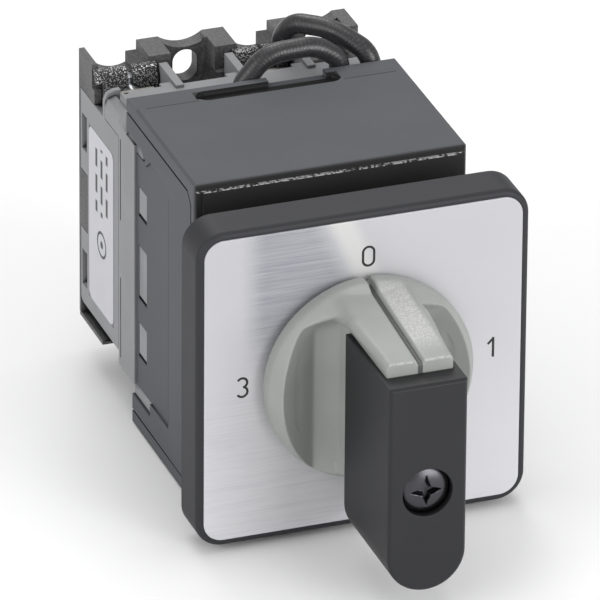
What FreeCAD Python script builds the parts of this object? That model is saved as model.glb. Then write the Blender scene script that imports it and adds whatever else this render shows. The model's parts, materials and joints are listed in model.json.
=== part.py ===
import FreeCAD, Part
import math
import os
import Sketcher
from FreeCAD import Placement, Rotation, Vector

# Rotary cam switch for panel mounting: square front frame, wing knob with a black lever,
# black hood behind the panel, two grey contact decks and a black terminal block.
# Frame: X to the right, Y back through the panel, Z up. The origin lies on the shaft's
# axis, on the panel's front face. Lengths are in millimetres.

doc = FreeCAD.newDocument("rotary_cam_switch")
sheet = doc.addObject("Spreadsheet::Sheet", "Sizes")

SIZES = [
    # front frame, dial plate and seal
    ("front_side", 45.0, "outer side of the square front frame"),
    ("front_corner", 3.8, "corner radius of the front frame"),
    ("front_depth", 6.3, "dial plate's face to the panel's front face"),
    ("rim_round", 0.75, "rounding of the frame's front edge"),
    ("plate_side", 43.0, "side of the dial plate"),
    ("plate_corner", 2.65, "corner radius of the dial plate"),
    ("plate_thick", 0.9, "dial plate"),
    ("plate_proud", 0.15, "dial plate stands out of the frame"),
    ("plate_hole", 5.6, "radius of the hole in the dial plate"),
    ("seal_thick", 1.0, "panel seal"),
    ("seal_wide", 2.2, "width of the seal's section"),
    ("seal_inset", 1.6, "frame's edge to the seal"),
    ("seal_proud", 0.3, "seal stands out of the frame's back"),
    ("web_hole", 7.0, "radius of the hole in the frame's web"),
    ("fit", 0.05, "clearance of a part that is pushed into its seat"),
    ("play", 0.05, "radial clearance of what turns or slides"),
    # knob and lever
    ("knob_gap", 0.25, "knob's base to the dial plate"),
    ("knob_radius", 14.0, "outside of the knob's disc"),
    ("knob_foot", 13.3, "radius of the disc at its base"),
    ("knob_band", 2.8, "height of the disc's widest band"),
    ("knob_face", 7.0, "height of the disc's front face"),
    ("knob_face_radius", 12.1, "radius of the disc's front face"),
    ("scoop_radius", 3.9, "radius of the finger scoops"),
    ("scoop_floor", 3.4, "height of the scoops' lowest line"),
    ("scoop_rim", 11.5, "radius that bounds the scoops"),
    ("fin_wide", 9.0, "width of the knob's fin"),
    ("fin_reach", 20.7, "height of the fin's front face"),
    ("fin_top_back", 13.45, "fin's ridge at the disc"),
    ("fin_top_front", 11.6, "fin's ridge at its front"),
    ("fin_bottom", 13.4, "fin's lower end below the axis"),
    ("fin_round", 0.6, "rounding of the fin's ridge edges"),
    ("pointer_wide", 0.9, "pointer groove"),
    ("pointer_deep", 0.55, "pointer groove"),
    ("socket_reach", 14.0, "depth of the knob's shaft socket"),
    ("lever_wall", 0.7, "side walls of the lever round the fin"),
    ("lever_top", 9.8, "upper end of the lever above the axis"),
    ("lever_bottom", 19.7, "lower end of the lever below the axis"),
    ("lever_front", 24.0, "height of the lever's front face"),
    ("lever_back", 7.6, "height of the lever's back face"),
    ("lever_round", 0.35, "broken front edge of the lever"),
    ("lever_screw_low", 5.6, "lever screw below the axis"),
    ("screw_recess", 3.35, "radius of the lever screw's recess"),
    ("screw_recess_deep", 1.7, "depth of the lever screw's recess"),
    ("screw_head", 3.05, "radius of the lever screw's head"),
    ("screw_head_thick", 1.35, "lever screw's head"),
    ("screw_shank", 1.4, "radius of the lever screw's shank"),
    ("screw_bite", 8.0, "lever screw's length in the fin"),
    # shaft
    ("square_front", 5.0, "square end in the knob"),
    ("journal", 4.5, "radius of the front journal"),
    ("square_back", 6.0, "square that carries the cams"),
    ("tail", 3.0, "radius of the rear journal"),
    ("ring_groove", 3.9, "radius at the bottom of the ring's groove"),
    ("ring_thick", 0.75, "retaining ring"),
    ("ring_outer", 6.2, "outside radius of the retaining ring"),
    ("ring_gap", 0.1, "retaining ring to the neck"),
    # hood and neck behind the panel
    ("neck", 11.0, "radius of the neck through the panel"),
    ("neck_reach", 3.7, "neck in front of the panel's face"),
    ("neck_gap", 0.15, "neck to the front frame"),
    ("panel_space", 6.1, "panel's front face to the hood"),
    ("hood_wide", 37.0, "hood"),
    ("hood_high", 46.6, "hood"),
    ("hood_long", 27.2, "hood"),
    ("hood_front", 1.8, "hood's front wall"),
    ("hood_top", 2.0, "hood's top and bottom walls"),
    ("hood_side", 1.6, "hood's side walls"),
    ("hood_edge", 0.3, "broken edges of the hood"),
    ("border_wide", 1.1, "border round the hood's front face"),
    ("border_sunk", 0.3, "depth of that border"),
    ("rim_line_low", 1.9, "line along the hood's sides below its top face"),
    ("rim_line_front", 1.5, "the line turns down this far behind the front face"),
    ("line_wide", 0.3, "width of the lines cut into the housings"),
    ("line_deep", 0.3, "depth of the lines cut into the housings"),
    ("notch_wide", 7.9, "notch in the rear edge of the hood's top"),
    ("notch_long", 1.3, "the notch along the depth"),
    ("notch_deep", 1.1, "depth of the notch"),
    ("hood_bottom_short", 2.3, "bottom wall ends before the top wall"),
    ("cheek_short", 3.3, "side cheeks end before the top wall"),
    ("cheek_top", 16.7, "upper edge of the side cheeks"),
    ("cheek_bottom", 17.0, "lower edge of the side cheeks"),
    ("cheek_slot", 1.9, "height of the slots above and below the cheeks"),
    ("cheek_slot_long", 7.5, "length of the slots in front of the hood's end"),
    ("cheek_after", 10.5, "hood's front to the sunk cheek field"),
    ("cheek_sunk", 0.3, "depth of the sunk cheek field"),
    ("window_before", 7.3, "front edge of the latch windows to the hood's end"),
    ("window_a_low", 8.0, "upper window, lower edge"),
    ("window_a_high", 12.3, "upper window, upper edge"),
    ("window_b_low", -4.0, "middle window, lower edge"),
    ("window_b_high", 3.8, "middle window, upper edge"),
    ("window_c_low", -12.5, "lower window, lower edge"),
    ("window_c_high", -7.5, "lower window, upper edge"),
    ("window_long", 3.2, "latch windows along the depth"),
    ("grip_before", 4.4, "front of the round-ended slot in the top to the hood's end"),
    ("grip_wide", 3.2, "round-ended slot"),
    ("grip_long", 19.8, "round-ended slot"),
    ("grip_deep", 1.1, "round-ended slot"),
    ("strip_before", 3.7, "front of the sunk strip on the top to the hood's end"),
    ("strip_sunk", 0.25, "depth of the sunk strip"),
    ("panel_screw_pitch", 28.0, "spacing of the panel screws, both ways"),
    ("panel_screw", 1.45, "radius of the panel screws' holes"),
    ("panel_screw_deep", 8.0, "depth of the panel screws' holes"),
    ("panel_screw_clear", 1.9, "radius of their clearance holes in the hood"),
    # latch that gives the four positions
    ("latch_deep", 11.7, "latch housing inside the hood"),
    ("star_after", 1.7, "hood's front wall to the star wheel"),
    ("star_radius", 7.2, "star wheel"),
    ("star_thick", 4.8, "star wheel"),
    ("star_notch", 1.9, "radius of the star wheel's notches"),
    ("star_notch_out", 0.7, "notch centres outside the wheel's edge"),
    ("positions", 4.0, "positions of the handle in one turn"),
    ("chamber_gap", 0.4, "round chambers to what turns in them"),
    ("nose_gap", 0.12, "cams and star wheel to the noses that follow them"),
    ("pin_radius", 2.0, "latch pins"),
    ("pin_long", 4.6, "latch pins without their spring stud"),
    ("pin_stud", 1.15, "radius of the pins' spring stud"),
    ("pin_stud_long", 1.2, "the pins' spring stud"),
    ("pin_travel", 1.2, "travel of the latch pins"),
    ("latch_spring_long", 3.7, "latch springs as fitted"),
    # contact decks
    ("deck_gap", 0.1, "between the decks, and between hood and deck"),
    ("front_deck_out", 3.2, "hood's end to the front deck's back face"),
    ("deck_bottom", 17.2, "underside of the decks below the axis"),
    ("deck_top", 20.4, "front deck's top face"),
    ("deck_corner", 2.6, "rounding of the front deck's top corners"),
    ("lip_reach", 3.8, "front deck's top lip, along the depth"),
    ("lip_bottom", 14.8, "underside of the top lip"),
    ("lip_notch", 0.6, "small notch in the lip's rear edge"),
    ("flank_reach", 5.5, "front deck's flanks beside the lip, along the depth"),
    ("flank_wide", 1.5, "thickness of the flanks"),
    ("flank_top", 19.3, "top of the flanks"),
    ("hook_thick", 0.8, "rear deck's hooks behind the flanks"),
    ("hook_wide", 2.2, "width of the hooks"),
    ("hook_top", 19.9, "top of the hooks"),
    ("seam_line", 0.6, "line beside the front deck's rear edge"),
    ("seam_high", 4.2, "that line leaves out the middle up to this height"),
    ("fin_rib", 1.1, "thickness of the ribs between the terminals"),
    ("rib_top", 20.8, "top of the ribs"),
    ("rib_foot", 2.2, "foot on the left of each rib"),
    ("rib_foot_long", 0.9, "the feet behind the lip's rear edge"),
    ("rear_deck_long", 15.5, "front deck's back face to the rear deck's"),
    ("rear_deck_top", 16.0, "top of the rear deck's side walls"),
    ("rear_wall", 1.5, "rear deck's side walls"),
    ("tray_wall", 5.0, "front deck's back face to the rear deck's open tray"),
    ("side_slot_near", 7.45, "sunk slots beside the label, ends nearer the middle"),
    ("side_slot_far", 12.6, "sunk slots beside the label, outer ends"),
    ("side_slot_wide", 2.0, "sunk slots beside the label"),
    ("cam_radius", 6.5, "cams on their lobes"),
    ("cam_base", 5.0, "cams between their lobes"),
    ("cam_thick", 4.4, "cams"),
    ("front_cam_after", 6.7, "latch housing to the front cam"),
    ("rear_cam_after", 1.5, "front deck's back face to the rear cam"),
    # moving contacts
    ("slider_wide", 4.6, "contact slider"),
    ("slider_deep", 3.4, "contact slider along the depth"),
    ("slider_stud", 1.2, "radius of the slider's spring stud"),
    ("slider_stud_long", 1.1, "the slider's spring stud"),
    ("contact_travel", 1.4, "travel of the moving contacts"),
    ("strip_low", 9.2, "underside of the fixed contacts above the axis"),
    ("strip_thick", 0.7, "fixed contacts"),
    ("strip_near", 3.0, "fixed contacts' inner end from the middle"),
    ("contact_gap", 0.1, "closed contacts stand this far apart"),
    ("bridge_long", 11.4, "moving contact bridge"),
    ("bridge_thick", 0.7, "moving contact bridge"),
    ("channel_floor", 0.8, "floor left under the screwdriver channels"),
    ("ceiling", 13.4, "top of the contact chambers"),
    # terminals
    ("terminal_margin", 0.3, "outer terminals' fields to the housing's sides"),
    ("terminal_axis", 17.1, "terminal screws above the axis"),
    ("leaf_before", 3.3, "front terminals' leaves to the front deck's back face"),
    ("terminal_step", 10.0, "front terminals to rear terminals"),
    ("leaf_top", 18.75, "top of the terminal leaves"),
    ("leaf_inset", 1.2, "leaves are narrower than the clamps, on each side"),
    ("clamp_room", 0.85, "clamps to the middle between two terminals"),
    ("clamp_top", 19.3, "top of the clamps' flat plates"),
    ("clamp_outer", 1.05, "the outermost lip is wider by this much"),
    ("clamp_thick", 0.9, "clamps"),
    ("clamp_bottom", 13.2, "lower edge of the clamps"),
    ("clamp_lip", 20.8, "upper edge of the clamps' bent lips"),
    ("clamp_lean", 0.75, "the lips lean back by this much"),
    ("clamp_split", 0.7, "gap between a clamp's two lips"),
    ("clamp_screw", 1.5, "radius of the terminal screws"),
    ("clamp_head", 2.1, "radius of the terminal screws' heads"),
    ("clamp_head_thick", 1.8, "terminal screws' heads"),
    ("clamp_tail", 2.2, "terminal screws in front of the leaves"),
    # black terminal block
    ("flange_thick", 0.6, "block's flange behind the rear deck"),
    ("skirt_thick", 0.6, "block's skirt under the rear deck"),
    ("skirt_long", 9.4, "block's skirt along the depth"),
    ("tower_deep", 5.4, "towers along the depth"),
    ("ledge_deep", 1.0, "ledge in front of the towers"),
    ("tower_top", 21.4, "top of the towers"),
    ("ear_tip", 0.75, "width of the pointed ears beside the open valleys"),
    ("tower_half", 1.5, "half width of the towers"),
    ("tower_step", 1.5, "width of the step beside a tower"),
    ("tower_step_low", 1.4, "the step lies this much lower"),
    ("valley", 18.1, "lowest line of the open valleys"),
    ("valley_half", 4.0, "half width of the open valleys at the towers' top"),
    ("saddle", 20.4, "lowest line above the round holes"),
    ("back_wall", 2.2, "thickness of the wall with the round holes"),
    ("hole_half", 1.7, "half width of the round-ended screwdriver holes"),
    ("hole_low", 15.5, "screwdriver holes' lowest line"),
    ("hole_high", 20.0, "screwdriver holes' highest line"),
    ("slant_hole", 0.95, "radius of the small bores behind the rear terminals' screws"),
    ("driver_channel", 3.05, "radius of the channels in front of the screwdriver holes"),
    ("block_floor", 14.3, "underside of the terminal block's floor"),
    ("floor_top", 16.3, "top of the terminal block's floor"),
    ("back_plate_thick", 4.2, "terminal block's back plate"),
    ("ear_half", 4.2, "half height of the block's side ears"),
    ("ear_thick", 3.4, "block's side ears along the depth"),
    ("tie_inset", 3.9, "tie screws to the housing's sides"),
    # fasteners, label and jumper wires
    ("tie_shank", 1.5, "radius of the tie screws"),
    ("tie_head", 2.6, "radius of the tie screws' heads"),
    ("tie_head_thick", 2.0, "tie screws' heads"),
    ("tie_bite", 7.0, "tie screws' length in the latch housing"),
    ("label_after", 2.1, "front deck's back face to the label"),
    ("label_corner", 1.2, "corner radius of the label"),
    ("label_long", 9.9, "label along the depth"),
    ("label_low", -13.0, "lower edge of the label"),
    ("label_high", 12.3, "upper edge of the label"),
    ("label_thick", 0.12, "label"),
    ("wire_radius", 1.36, "jumper wires over their insulation"),
    ("core_radius", 0.8, "bare ends of the jumper wires"),
    ("coil_wire", 0.2, "half thickness of the springs' wire"),
]


class Size:
    """A driving size, or a sum made from several: its number, and the same sum for the sheet."""

    def __init__(self, value, text):
        self.value = value
        self.text = text

    def join(self, sign, other, value):
        return Size(value, "(" + self.text + sign + other.text + ")")

    def __add__(self, other):
        other = size(other)
        return self.join(" + ", other, self.value + other.value)

    def __radd__(self, other):
        return size(other) + self

    def __sub__(self, other):
        other = size(other)
        return self.join(" - ", other, self.value - other.value)

    def __rsub__(self, other):
        return size(other) - self

    def __mul__(self, other):
        other = size(other)
        return self.join(" * ", other, self.value * other.value)

    def __rmul__(self, other):
        return size(other) * self

    def __truediv__(self, other):
        other = size(other)
        return self.join(" / ", other, self.value / other.value)

    def __neg__(self):
        return size(0) - self


def size(x):
    return x if isinstance(x, Size) else Size(float(x), repr(float(x)))


class Values:
    """The driving sizes by name."""


v = Values()
for row, (name, value, note) in enumerate(SIZES, start=1):
    sheet.set(f"A{row}", name)
    sheet.set(f"B{row}", str(value))
    sheet.setAlias(f"B{row}", name)
    sheet.set(f"C{row}", note)
    setattr(v, name, Size(value, "Sizes." + name))
doc.recompute()

# Places that follow from the sizes: y positions along the depth, x positions across
v.latch_front = v.panel_space + v.hood_front
v.latch_end = v.latch_front + v.latch_deep
v.star_front = v.latch_front + v.star_after
v.hood_end = v.panel_space + v.hood_long
v.cheek_front = v.panel_space + v.cheek_after
v.window_front = v.hood_end - v.window_before
v.grip_front = v.hood_end - v.grip_before
v.strip_front = v.hood_end - v.strip_before
v.front_deck_end = v.hood_end + v.front_deck_out
v.lip_end = v.front_deck_end + v.lip_reach
v.flank_end = v.front_deck_end + v.flank_reach
v.tray_front = v.front_deck_end + v.tray_wall
v.rear_deck_end = v.front_deck_end + v.rear_deck_long
v.front_cam_start = v.latch_end + v.front_cam_after
v.rear_cam_start = v.front_deck_end + v.rear_cam_after
v.leaf_front = v.front_deck_end - v.leaf_before
v.block_end = v.rear_deck_end + v.deck_gap + v.flange_thick
v.tower_front = v.block_end - v.tower_deep
v.ledge_front = v.tower_front - v.ledge_deep
v.back_plate_front = v.block_end - v.back_plate_thick
v.ear_front = v.block_end - v.ear_thick
v.label_front = v.front_deck_end + v.label_after
v.terminal_pitch = (v.hood_wide - v.terminal_margin * 2) / 4
v.clamp_half = v.terminal_pitch / 2 - v.clamp_room
v.leaf_half = v.clamp_half - v.leaf_inset
v.tie_x = v.hood_wide / 2 - v.tie_inset


def bind(obj, prop, x):
    """Ties a property of an object to the sheet, or sets a plain number."""
    if isinstance(x, Size):
        obj.setExpression(prop, x.text)
    else:
        setattr(obj, prop, x)


# Sketches and features

PLANES = {"x": "YZ_Plane", "y": "XZ_Plane", "z": "XY_Plane"}
AXES = {"x": "X_Axis", "y": "Y_Axis", "z": "Z_Axis"}


def origin_feature(body, role):
    return [o for o in body.Origin.OriginFeatures if o.Role == role][0]


def new_body(label):
    body = doc.addObject("PartDesign::Body", label)
    body.Label = label
    return body


def sketch(body, axis, at):
    """A sketch square to an axis. Square to x it is drawn in (y, z), to y in (x, z), to z in (x, y)."""
    sk = body.newObject("Sketcher::SketchObject", "sketch")
    sk.AttachmentSupport = [(origin_feature(body, PLANES[axis]), "")]
    sk.MapMode = "FlatFace"
    offset = -size(at) if axis == "y" else size(at)
    sk.AttachmentOffset = Placement(Vector(0, 0, offset.value), Rotation())
    sk.setExpression("AttachmentOffset.Base.z", offset.text)
    return sk


def fix(sk, kind, where, x):
    """A dimension of a sketch, tied to the sheet."""
    x = size(x)
    index = sk.addConstraint(Sketcher.Constraint(kind, *where, x.value))
    sk.setExpression(f"Constraints[{index}]", x.text)


def corner(p):
    return Vector(size(p[0]).value, size(p[1]).value, 0)


def polygon(sk, points):
    first = sk.GeometryCount
    count = len(points)
    for i in range(count):
        line = Part.LineSegment(corner(points[i]), corner(points[(i + 1) % count]))
        sk.addGeometry(line, False)
    for i in range(count):
        after = first + (i + 1) % count
        sk.addConstraint(Sketcher.Constraint("Coincident", first + i, 2, after, 1))
    for i, p in enumerate(points):
        fix(sk, "DistanceX", (-1, 1, first + i, 1), p[0])
        fix(sk, "DistanceY", (-1, 1, first + i, 1), p[1])


def rectangle(sk, low, high):
    polygon(sk, [low, (high[0], low[1]), high, (low[0], high[1])])


def circle(sk, centre, radius):
    radius = size(radius)
    index = sk.GeometryCount
    sk.addGeometry(Part.Circle(corner(centre), Vector(0, 0, 1), radius.value), False)
    fix(sk, "DistanceX", (-1, 1, index, 3), centre[0])
    fix(sk, "DistanceY", (-1, 1, index, 3), centre[1])
    fix(sk, "Radius", (index,), radius)


def round_rectangle(sk, low, high, radius):
    """Four lines and four arcs that run into each other."""
    low, high = (size(low[0]), size(low[1])), (size(high[0]), size(high[1]))
    radius = size(radius)
    x0, y0, x1, y1, r = low[0].value, low[1].value, high[0].value, high[1].value, radius.value
    first = sk.GeometryCount
    starts = [(x0 + r, y0), (x1, y0 + r), (x1 - r, y1), (x0, y1 - r)]
    ends = [(x1 - r, y0), (x1, y1 - r), (x0 + r, y1), (x0, y0 + r)]
    centres = [(x1 - r, y0 + r), (x1 - r, y1 - r), (x0 + r, y1 - r), (x0 + r, y0 + r)]
    for a, b in zip(starts, ends):
        sk.addGeometry(Part.LineSegment(Vector(*a, 0), Vector(*b, 0)), False)
    for i, c in enumerate(centres):
        turn = Part.Circle(Vector(*c, 0), Vector(0, 0, 1), r)
        begin = math.radians(-90 + 90 * i)
        sk.addGeometry(Part.ArcOfCircle(turn, begin, begin + math.pi / 2), False)
    for i in range(4):
        line, arc, after = first + i, first + 4 + i, first + (i + 1) % 4
        sk.addConstraint(Sketcher.Constraint("Tangent", line, 2, arc, 1))
        sk.addConstraint(Sketcher.Constraint("Tangent", arc, 2, after, 1))
    for i in range(1, 4):
        sk.addConstraint(Sketcher.Constraint("Equal", first + 4, first + 4 + i))
    sk.addConstraint(Sketcher.Constraint("Horizontal", first))
    sk.addConstraint(Sketcher.Constraint("Vertical", first + 1))
    sk.addConstraint(Sketcher.Constraint("Horizontal", first + 2))
    sk.addConstraint(Sketcher.Constraint("Vertical", first + 3))
    fix(sk, "Radius", (first + 4,), radius)
    fix(sk, "DistanceY", (-1, 1, first, 1), low[1])
    fix(sk, "DistanceX", (-1, 1, first + 1, 1), high[0])
    fix(sk, "DistanceY", (-1, 1, first + 2, 1), high[1])
    fix(sk, "DistanceX", (-1, 1, first + 3, 1), low[0])


def add(body, sk, axis, depth):
    """Adds a sketch's shape, from its plane towards the plus end of the axis."""
    feature = body.newObject("PartDesign::Pad", "pad")
    feature.Profile = sk
    feature.Reversed = axis == "y"
    bind(feature, "Length", depth)
    return feature


def cut(body, sk, axis, depth):
    """Takes a sketch's shape away, from its plane towards the plus end of the axis."""
    feature = body.newObject("PartDesign::Pocket", "pocket")
    feature.Profile = sk
    feature.Reversed = axis != "y"
    bind(feature, "Length", depth)
    return feature


def span(body, feature, axis, low, high, draw):
    """One pad or pocket between two planes; draw puts the outline into its sketch."""
    sk = sketch(body, axis, low)
    draw(sk)
    return feature(body, sk, axis, size(high) - low)


def revolve(body, axis, points, plane):
    """A full turn of a closed outline about an axis of the body."""
    sk = sketch(body, plane, 0)
    polygon(sk, points)
    feature = body.newObject("PartDesign::Revolution", "revolution")
    feature.Profile = sk
    feature.ReferenceAxis = (origin_feature(body, AXES[axis]), [""])
    feature.Angle = 360
    return feature


def lies_in(edge, **planes):
    """Whether an edge lies in each of the planes given as x=, y= or z=."""
    box = edge.BoundBox
    ends = {"x": (box.XMin, box.XMax), "y": (box.YMin, box.YMax), "z": (box.ZMin, box.ZMax)}
    for axis, at in planes.items():
        at = size(at).value
        if max(abs(e - at) for e in ends[axis]) > 1e-3:
            return False
    return True


def dress(body, kind, radius, test):
    """A fillet or chamfer on the edges of the body's last shape that pass a test."""
    doc.recompute()
    last = body.Tip
    names = [f"Edge{i}" for i, e in enumerate(last.Shape.Edges, start=1) if test(e)]
    feature = body.newObject(kind, "dress")
    feature.Base = (last, names)
    bind(feature, "Radius" if kind.endswith("Fillet") else "Size", radius)
    return feature


def fillet(body, radius, test):
    return dress(body, "PartDesign::Fillet", radius, test)


def chamfer(body, radius, test):
    return dress(body, "PartDesign::Chamfer", radius, test)


def square(sk, half, middle=(0, 0)):
    rectangle(sk, (middle[0] - half, middle[1] - half), (middle[0] + half, middle[1] + half))


# Front frame, dial plate and seal


def plate_face():
    return -v.front_depth


def make_front_frame():
    body = new_body("front_frame")
    front = plate_face() + v.plate_proud
    back = -v.seal_proud
    half = v.front_side / 2
    span(body, add, "y", front, back,
         lambda sk: round_rectangle(sk, (-half, -half), (half, half), v.front_corner))
    fillet(body, v.rim_round, lambda e: lies_in(e, y=front))
    seat = v.plate_side / 2 + v.fit
    span(body, cut, "y", front, plate_face() + v.plate_thick,
         lambda sk: round_rectangle(sk, (-seat, -seat), (seat, seat), v.plate_corner + v.fit))

    def seal_groove(sk):
        outer = half - v.seal_inset + v.fit
        inner = half - v.seal_inset - v.seal_wide - v.fit
        round_rectangle(sk, (-outer, -outer), (outer, outer), v.plate_corner)
        round_rectangle(sk, (-inner, -inner), (inner, inner), v.plate_corner / 2)

    span(body, cut, "y", -v.seal_thick, back, seal_groove)
    span(body, cut, "y", -v.neck_reach, back, lambda sk: circle(sk, (0, 0), v.neck + v.neck_gap))
    span(body, cut, "y", front, back, lambda sk: circle(sk, (0, 0), v.web_hole))
    return body


def make_dial_plate():
    body = new_body("dial_plate")
    half = v.plate_side / 2

    def outline(sk):
        round_rectangle(sk, (-half, -half), (half, half), v.plate_corner)
        circle(sk, (0, 0), v.plate_hole)

    span(body, add, "y", plate_face(), plate_face() + v.plate_thick, outline)
    return body


def make_panel_seal():
    body = new_body("panel_seal")
    outer = v.front_side / 2 - v.seal_inset
    inner = outer - v.seal_wide

    def outline(sk):
        round_rectangle(sk, (-outer, -outer), (outer, outer), v.plate_corner)
        round_rectangle(sk, (-inner, -inner), (inner, inner), v.plate_corner / 2)

    span(body, add, "y", -v.seal_thick, 0, outline)
    return body


# Knob, lever and lever screw


def above_plate(height):
    """The depth position of a height above the dial plate."""
    return plate_face() - height


def make_knob():
    body = new_body("knob_body")
    base = above_plate(v.knob_gap)
    face = above_plate(v.knob_face)
    band = above_plate(v.knob_band)
    foot_top = above_plate(v.knob_gap + (v.knob_radius - v.knob_foot))
    front = above_plate(v.fin_reach)
    half = v.fin_wide / 2
    inner_foot = v.knob_face_radius - v.fin_round

    def fin(sk):
        polygon(sk, [
            (foot_top, v.fin_top_back), (foot_top, -inner_foot), (face + v.fin_round, -inner_foot),
            (above_plate(v.lever_back), -v.fin_bottom), (front, -v.fin_bottom),
            (front, v.fin_top_front)])

    span(body, add, "x", -half, half, fin)
    slope = (v.fin_top_back - v.fin_top_front) / (foot_top - front)
    fillet(body, v.fin_round, lambda e: e.Length > v.knob_radius.value
           and abs(abs(e.CenterOfMass.x) - half.value) < 1e-3
           and e.CenterOfMass.z > v.lever_top.value)
    revolve(body, "y", [
        (base, 0), (base, v.knob_foot), (foot_top, v.knob_radius), (band, v.knob_radius),
        (face + v.fin_round, v.knob_face_radius), (face, v.knob_face_radius - v.fin_round),
        (face, 0)], "x")
    start = base + v.knob_gap
    end = front - v.pointer_wide

    def ridge(y):
        return v.fin_top_front + (y - front) * slope

    span(body, cut, "x", -v.pointer_wide / 2, v.pointer_wide / 2, lambda sk: polygon(sk, [
        (start, ridge(start) - v.pointer_deep), (start, ridge(start) + v.pointer_wide),
        (end, ridge(end) + v.pointer_wide), (end, ridge(end) - v.pointer_deep)]))
    hole = v.square_front / 2 + v.fit
    span(body, cut, "y", base - v.socket_reach, base, lambda sk: square(sk, hole))
    span(body, cut, "y", front, front + v.screw_bite + v.fit,
         lambda sk: circle(sk, (0, -v.lever_screw_low), v.screw_shank))
    shape = body
    for side in (-1, 1):
        trough = doc.addObject("Part::Cylinder", "scoop_trough")
        bind(trough, "Radius", v.scoop_radius)
        bind(trough, "Height", v.knob_radius * 2)
        bind(trough, "Placement.Base.x", side * (half + v.scoop_radius + v.fit))
        bind(trough, "Placement.Base.y", above_plate(v.scoop_floor + v.scoop_radius))
        bind(trough, "Placement.Base.z", -v.knob_radius)
        bound = doc.addObject("Part::Cylinder", "scoop_bound")
        bound.Placement = Placement(Vector(), Rotation(Vector(1, 0, 0), 90))
        bind(bound, "Radius", v.scoop_rim)
        bind(bound, "Height", v.scoop_radius * 2)
        bind(bound, "Placement.Base.y", above_plate(v.scoop_floor))
        scoop = doc.addObject("Part::Common", "scoop")
        scoop.Base = trough
        scoop.Tool = bound
        carved = doc.addObject("Part::Cut", "carved")
        carved.Base = shape
        carved.Tool = scoop
        shape = carved
    shape.Label = "knob"
    return shape


def make_lever():
    body = new_body("lever")
    half = v.fin_wide / 2 + v.fit + v.lever_wall
    front, back = above_plate(v.lever_front), above_plate(v.lever_back)
    middle = half - v.lever_bottom

    def outline(sk):
        w, top, low = half.value, v.lever_top.value, middle.value
        sk.addGeometry(Part.LineSegment(Vector(-w, top, 0), Vector(w, top, 0)), False)
        sk.addGeometry(Part.LineSegment(Vector(w, top, 0), Vector(w, low, 0)), False)
        end = Part.Circle(Vector(0, low, 0), Vector(0, 0, 1), w)
        sk.addGeometry(Part.ArcOfCircle(end, math.pi, 2 * math.pi), False)
        sk.addGeometry(Part.LineSegment(Vector(-w, low, 0), Vector(-w, top, 0)), False)
        sk.addConstraint(Sketcher.Constraint("Coincident", 0, 2, 1, 1))
        sk.addConstraint(Sketcher.Constraint("Tangent", 1, 2, 2, 2))
        sk.addConstraint(Sketcher.Constraint("Tangent", 2, 1, 3, 1))
        sk.addConstraint(Sketcher.Constraint("Coincident", 3, 2, 0, 1))
        fix(sk, "DistanceX", (-1, 1, 0, 1), -half)
        fix(sk, "DistanceY", (-1, 1, 0, 1), v.lever_top)
        fix(sk, "DistanceX", (-1, 1, 0, 2), half)
        fix(sk, "DistanceY", (-1, 1, 0, 2), v.lever_top)
        fix(sk, "DistanceX", (-1, 1, 2, 3), 0)
        fix(sk, "DistanceY", (-1, 1, 2, 3), middle)

    span(body, add, "y", front, back, outline)
    chamfer(body, v.lever_round, lambda e: lies_in(e, y=front))
    inner = v.fin_wide / 2 + v.fit
    span(body, cut, "y", above_plate(v.fin_reach + v.fit), back,
         lambda sk: rectangle(sk, (-inner, -v.fin_bottom - v.fit), (inner, v.lever_top + v.lever_wall)))
    place = (0, -v.lever_screw_low)
    span(body, cut, "y", front, front + v.screw_recess_deep,
         lambda sk: circle(sk, place, v.screw_recess))
    span(body, cut, "y", front, above_plate(v.fin_reach),
         lambda sk: circle(sk, place, v.screw_shank + v.fit))
    return body


def make_lever_screw():
    body = new_body("lever_screw")
    place = (0, -v.lever_screw_low)
    seat = above_plate(v.lever_front) + v.screw_recess_deep
    top = seat - v.screw_head_thick
    span(body, add, "y", top, seat, lambda sk: circle(sk, place, v.screw_head))
    span(body, add, "y", seat, above_plate(v.fin_reach) + v.screw_bite,
         lambda sk: circle(sk, place, v.screw_shank))
    chamfer(body, v.screw_head_thick * 0.3,
            lambda e: lies_in(e, y=top) and e.Length > v.screw_head.value * 6)
    arm, width = v.screw_head * 0.62, v.screw_head * 0.14
    low = -v.lever_screw_low

    def cross(sk):
        polygon(sk, [
            (-arm, low - width), (-width, low - width), (-width, low - arm), (width, low - arm),
            (width, low - width), (arm, low - width), (arm, low + width), (width, low + width),
            (width, low + arm), (-width, low + arm), (-width, low + width), (-arm, low + width)])

    span(body, cut, "y", top, top + v.screw_head_thick * 0.7, cross)
    return body


# Shaft, retaining ring and star wheel


def ring_back():
    return -v.neck_reach - v.ring_gap


def make_shaft():
    body = new_body("shaft")
    knob_end = above_plate(v.knob_gap + v.socket_reach) + v.fit * 4
    shoulder = ring_back() - v.ring_thick * 2
    wall = ring_back() - v.ring_thick - v.fit
    revolve(body, "y", [
        (shoulder, 0), (shoulder, v.journal), (wall, v.journal), (wall, v.ring_groove),
        (ring_back() + v.fit, v.ring_groove), (ring_back() + v.fit, v.journal),
        (v.latch_front + v.play, v.journal), (v.latch_front + v.play, 0)], "x")
    span(body, add, "y", knob_end, shoulder, lambda sk: square(sk, v.square_front / 2))
    square_end = v.back_plate_front - v.play * 2
    span(body, add, "y", v.latch_front + v.play, square_end,
         lambda sk: square(sk, v.square_back / 2))
    span(body, add, "y", square_end, v.block_end - v.play, lambda sk: circle(sk, (0, 0), v.tail))
    return body


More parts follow.
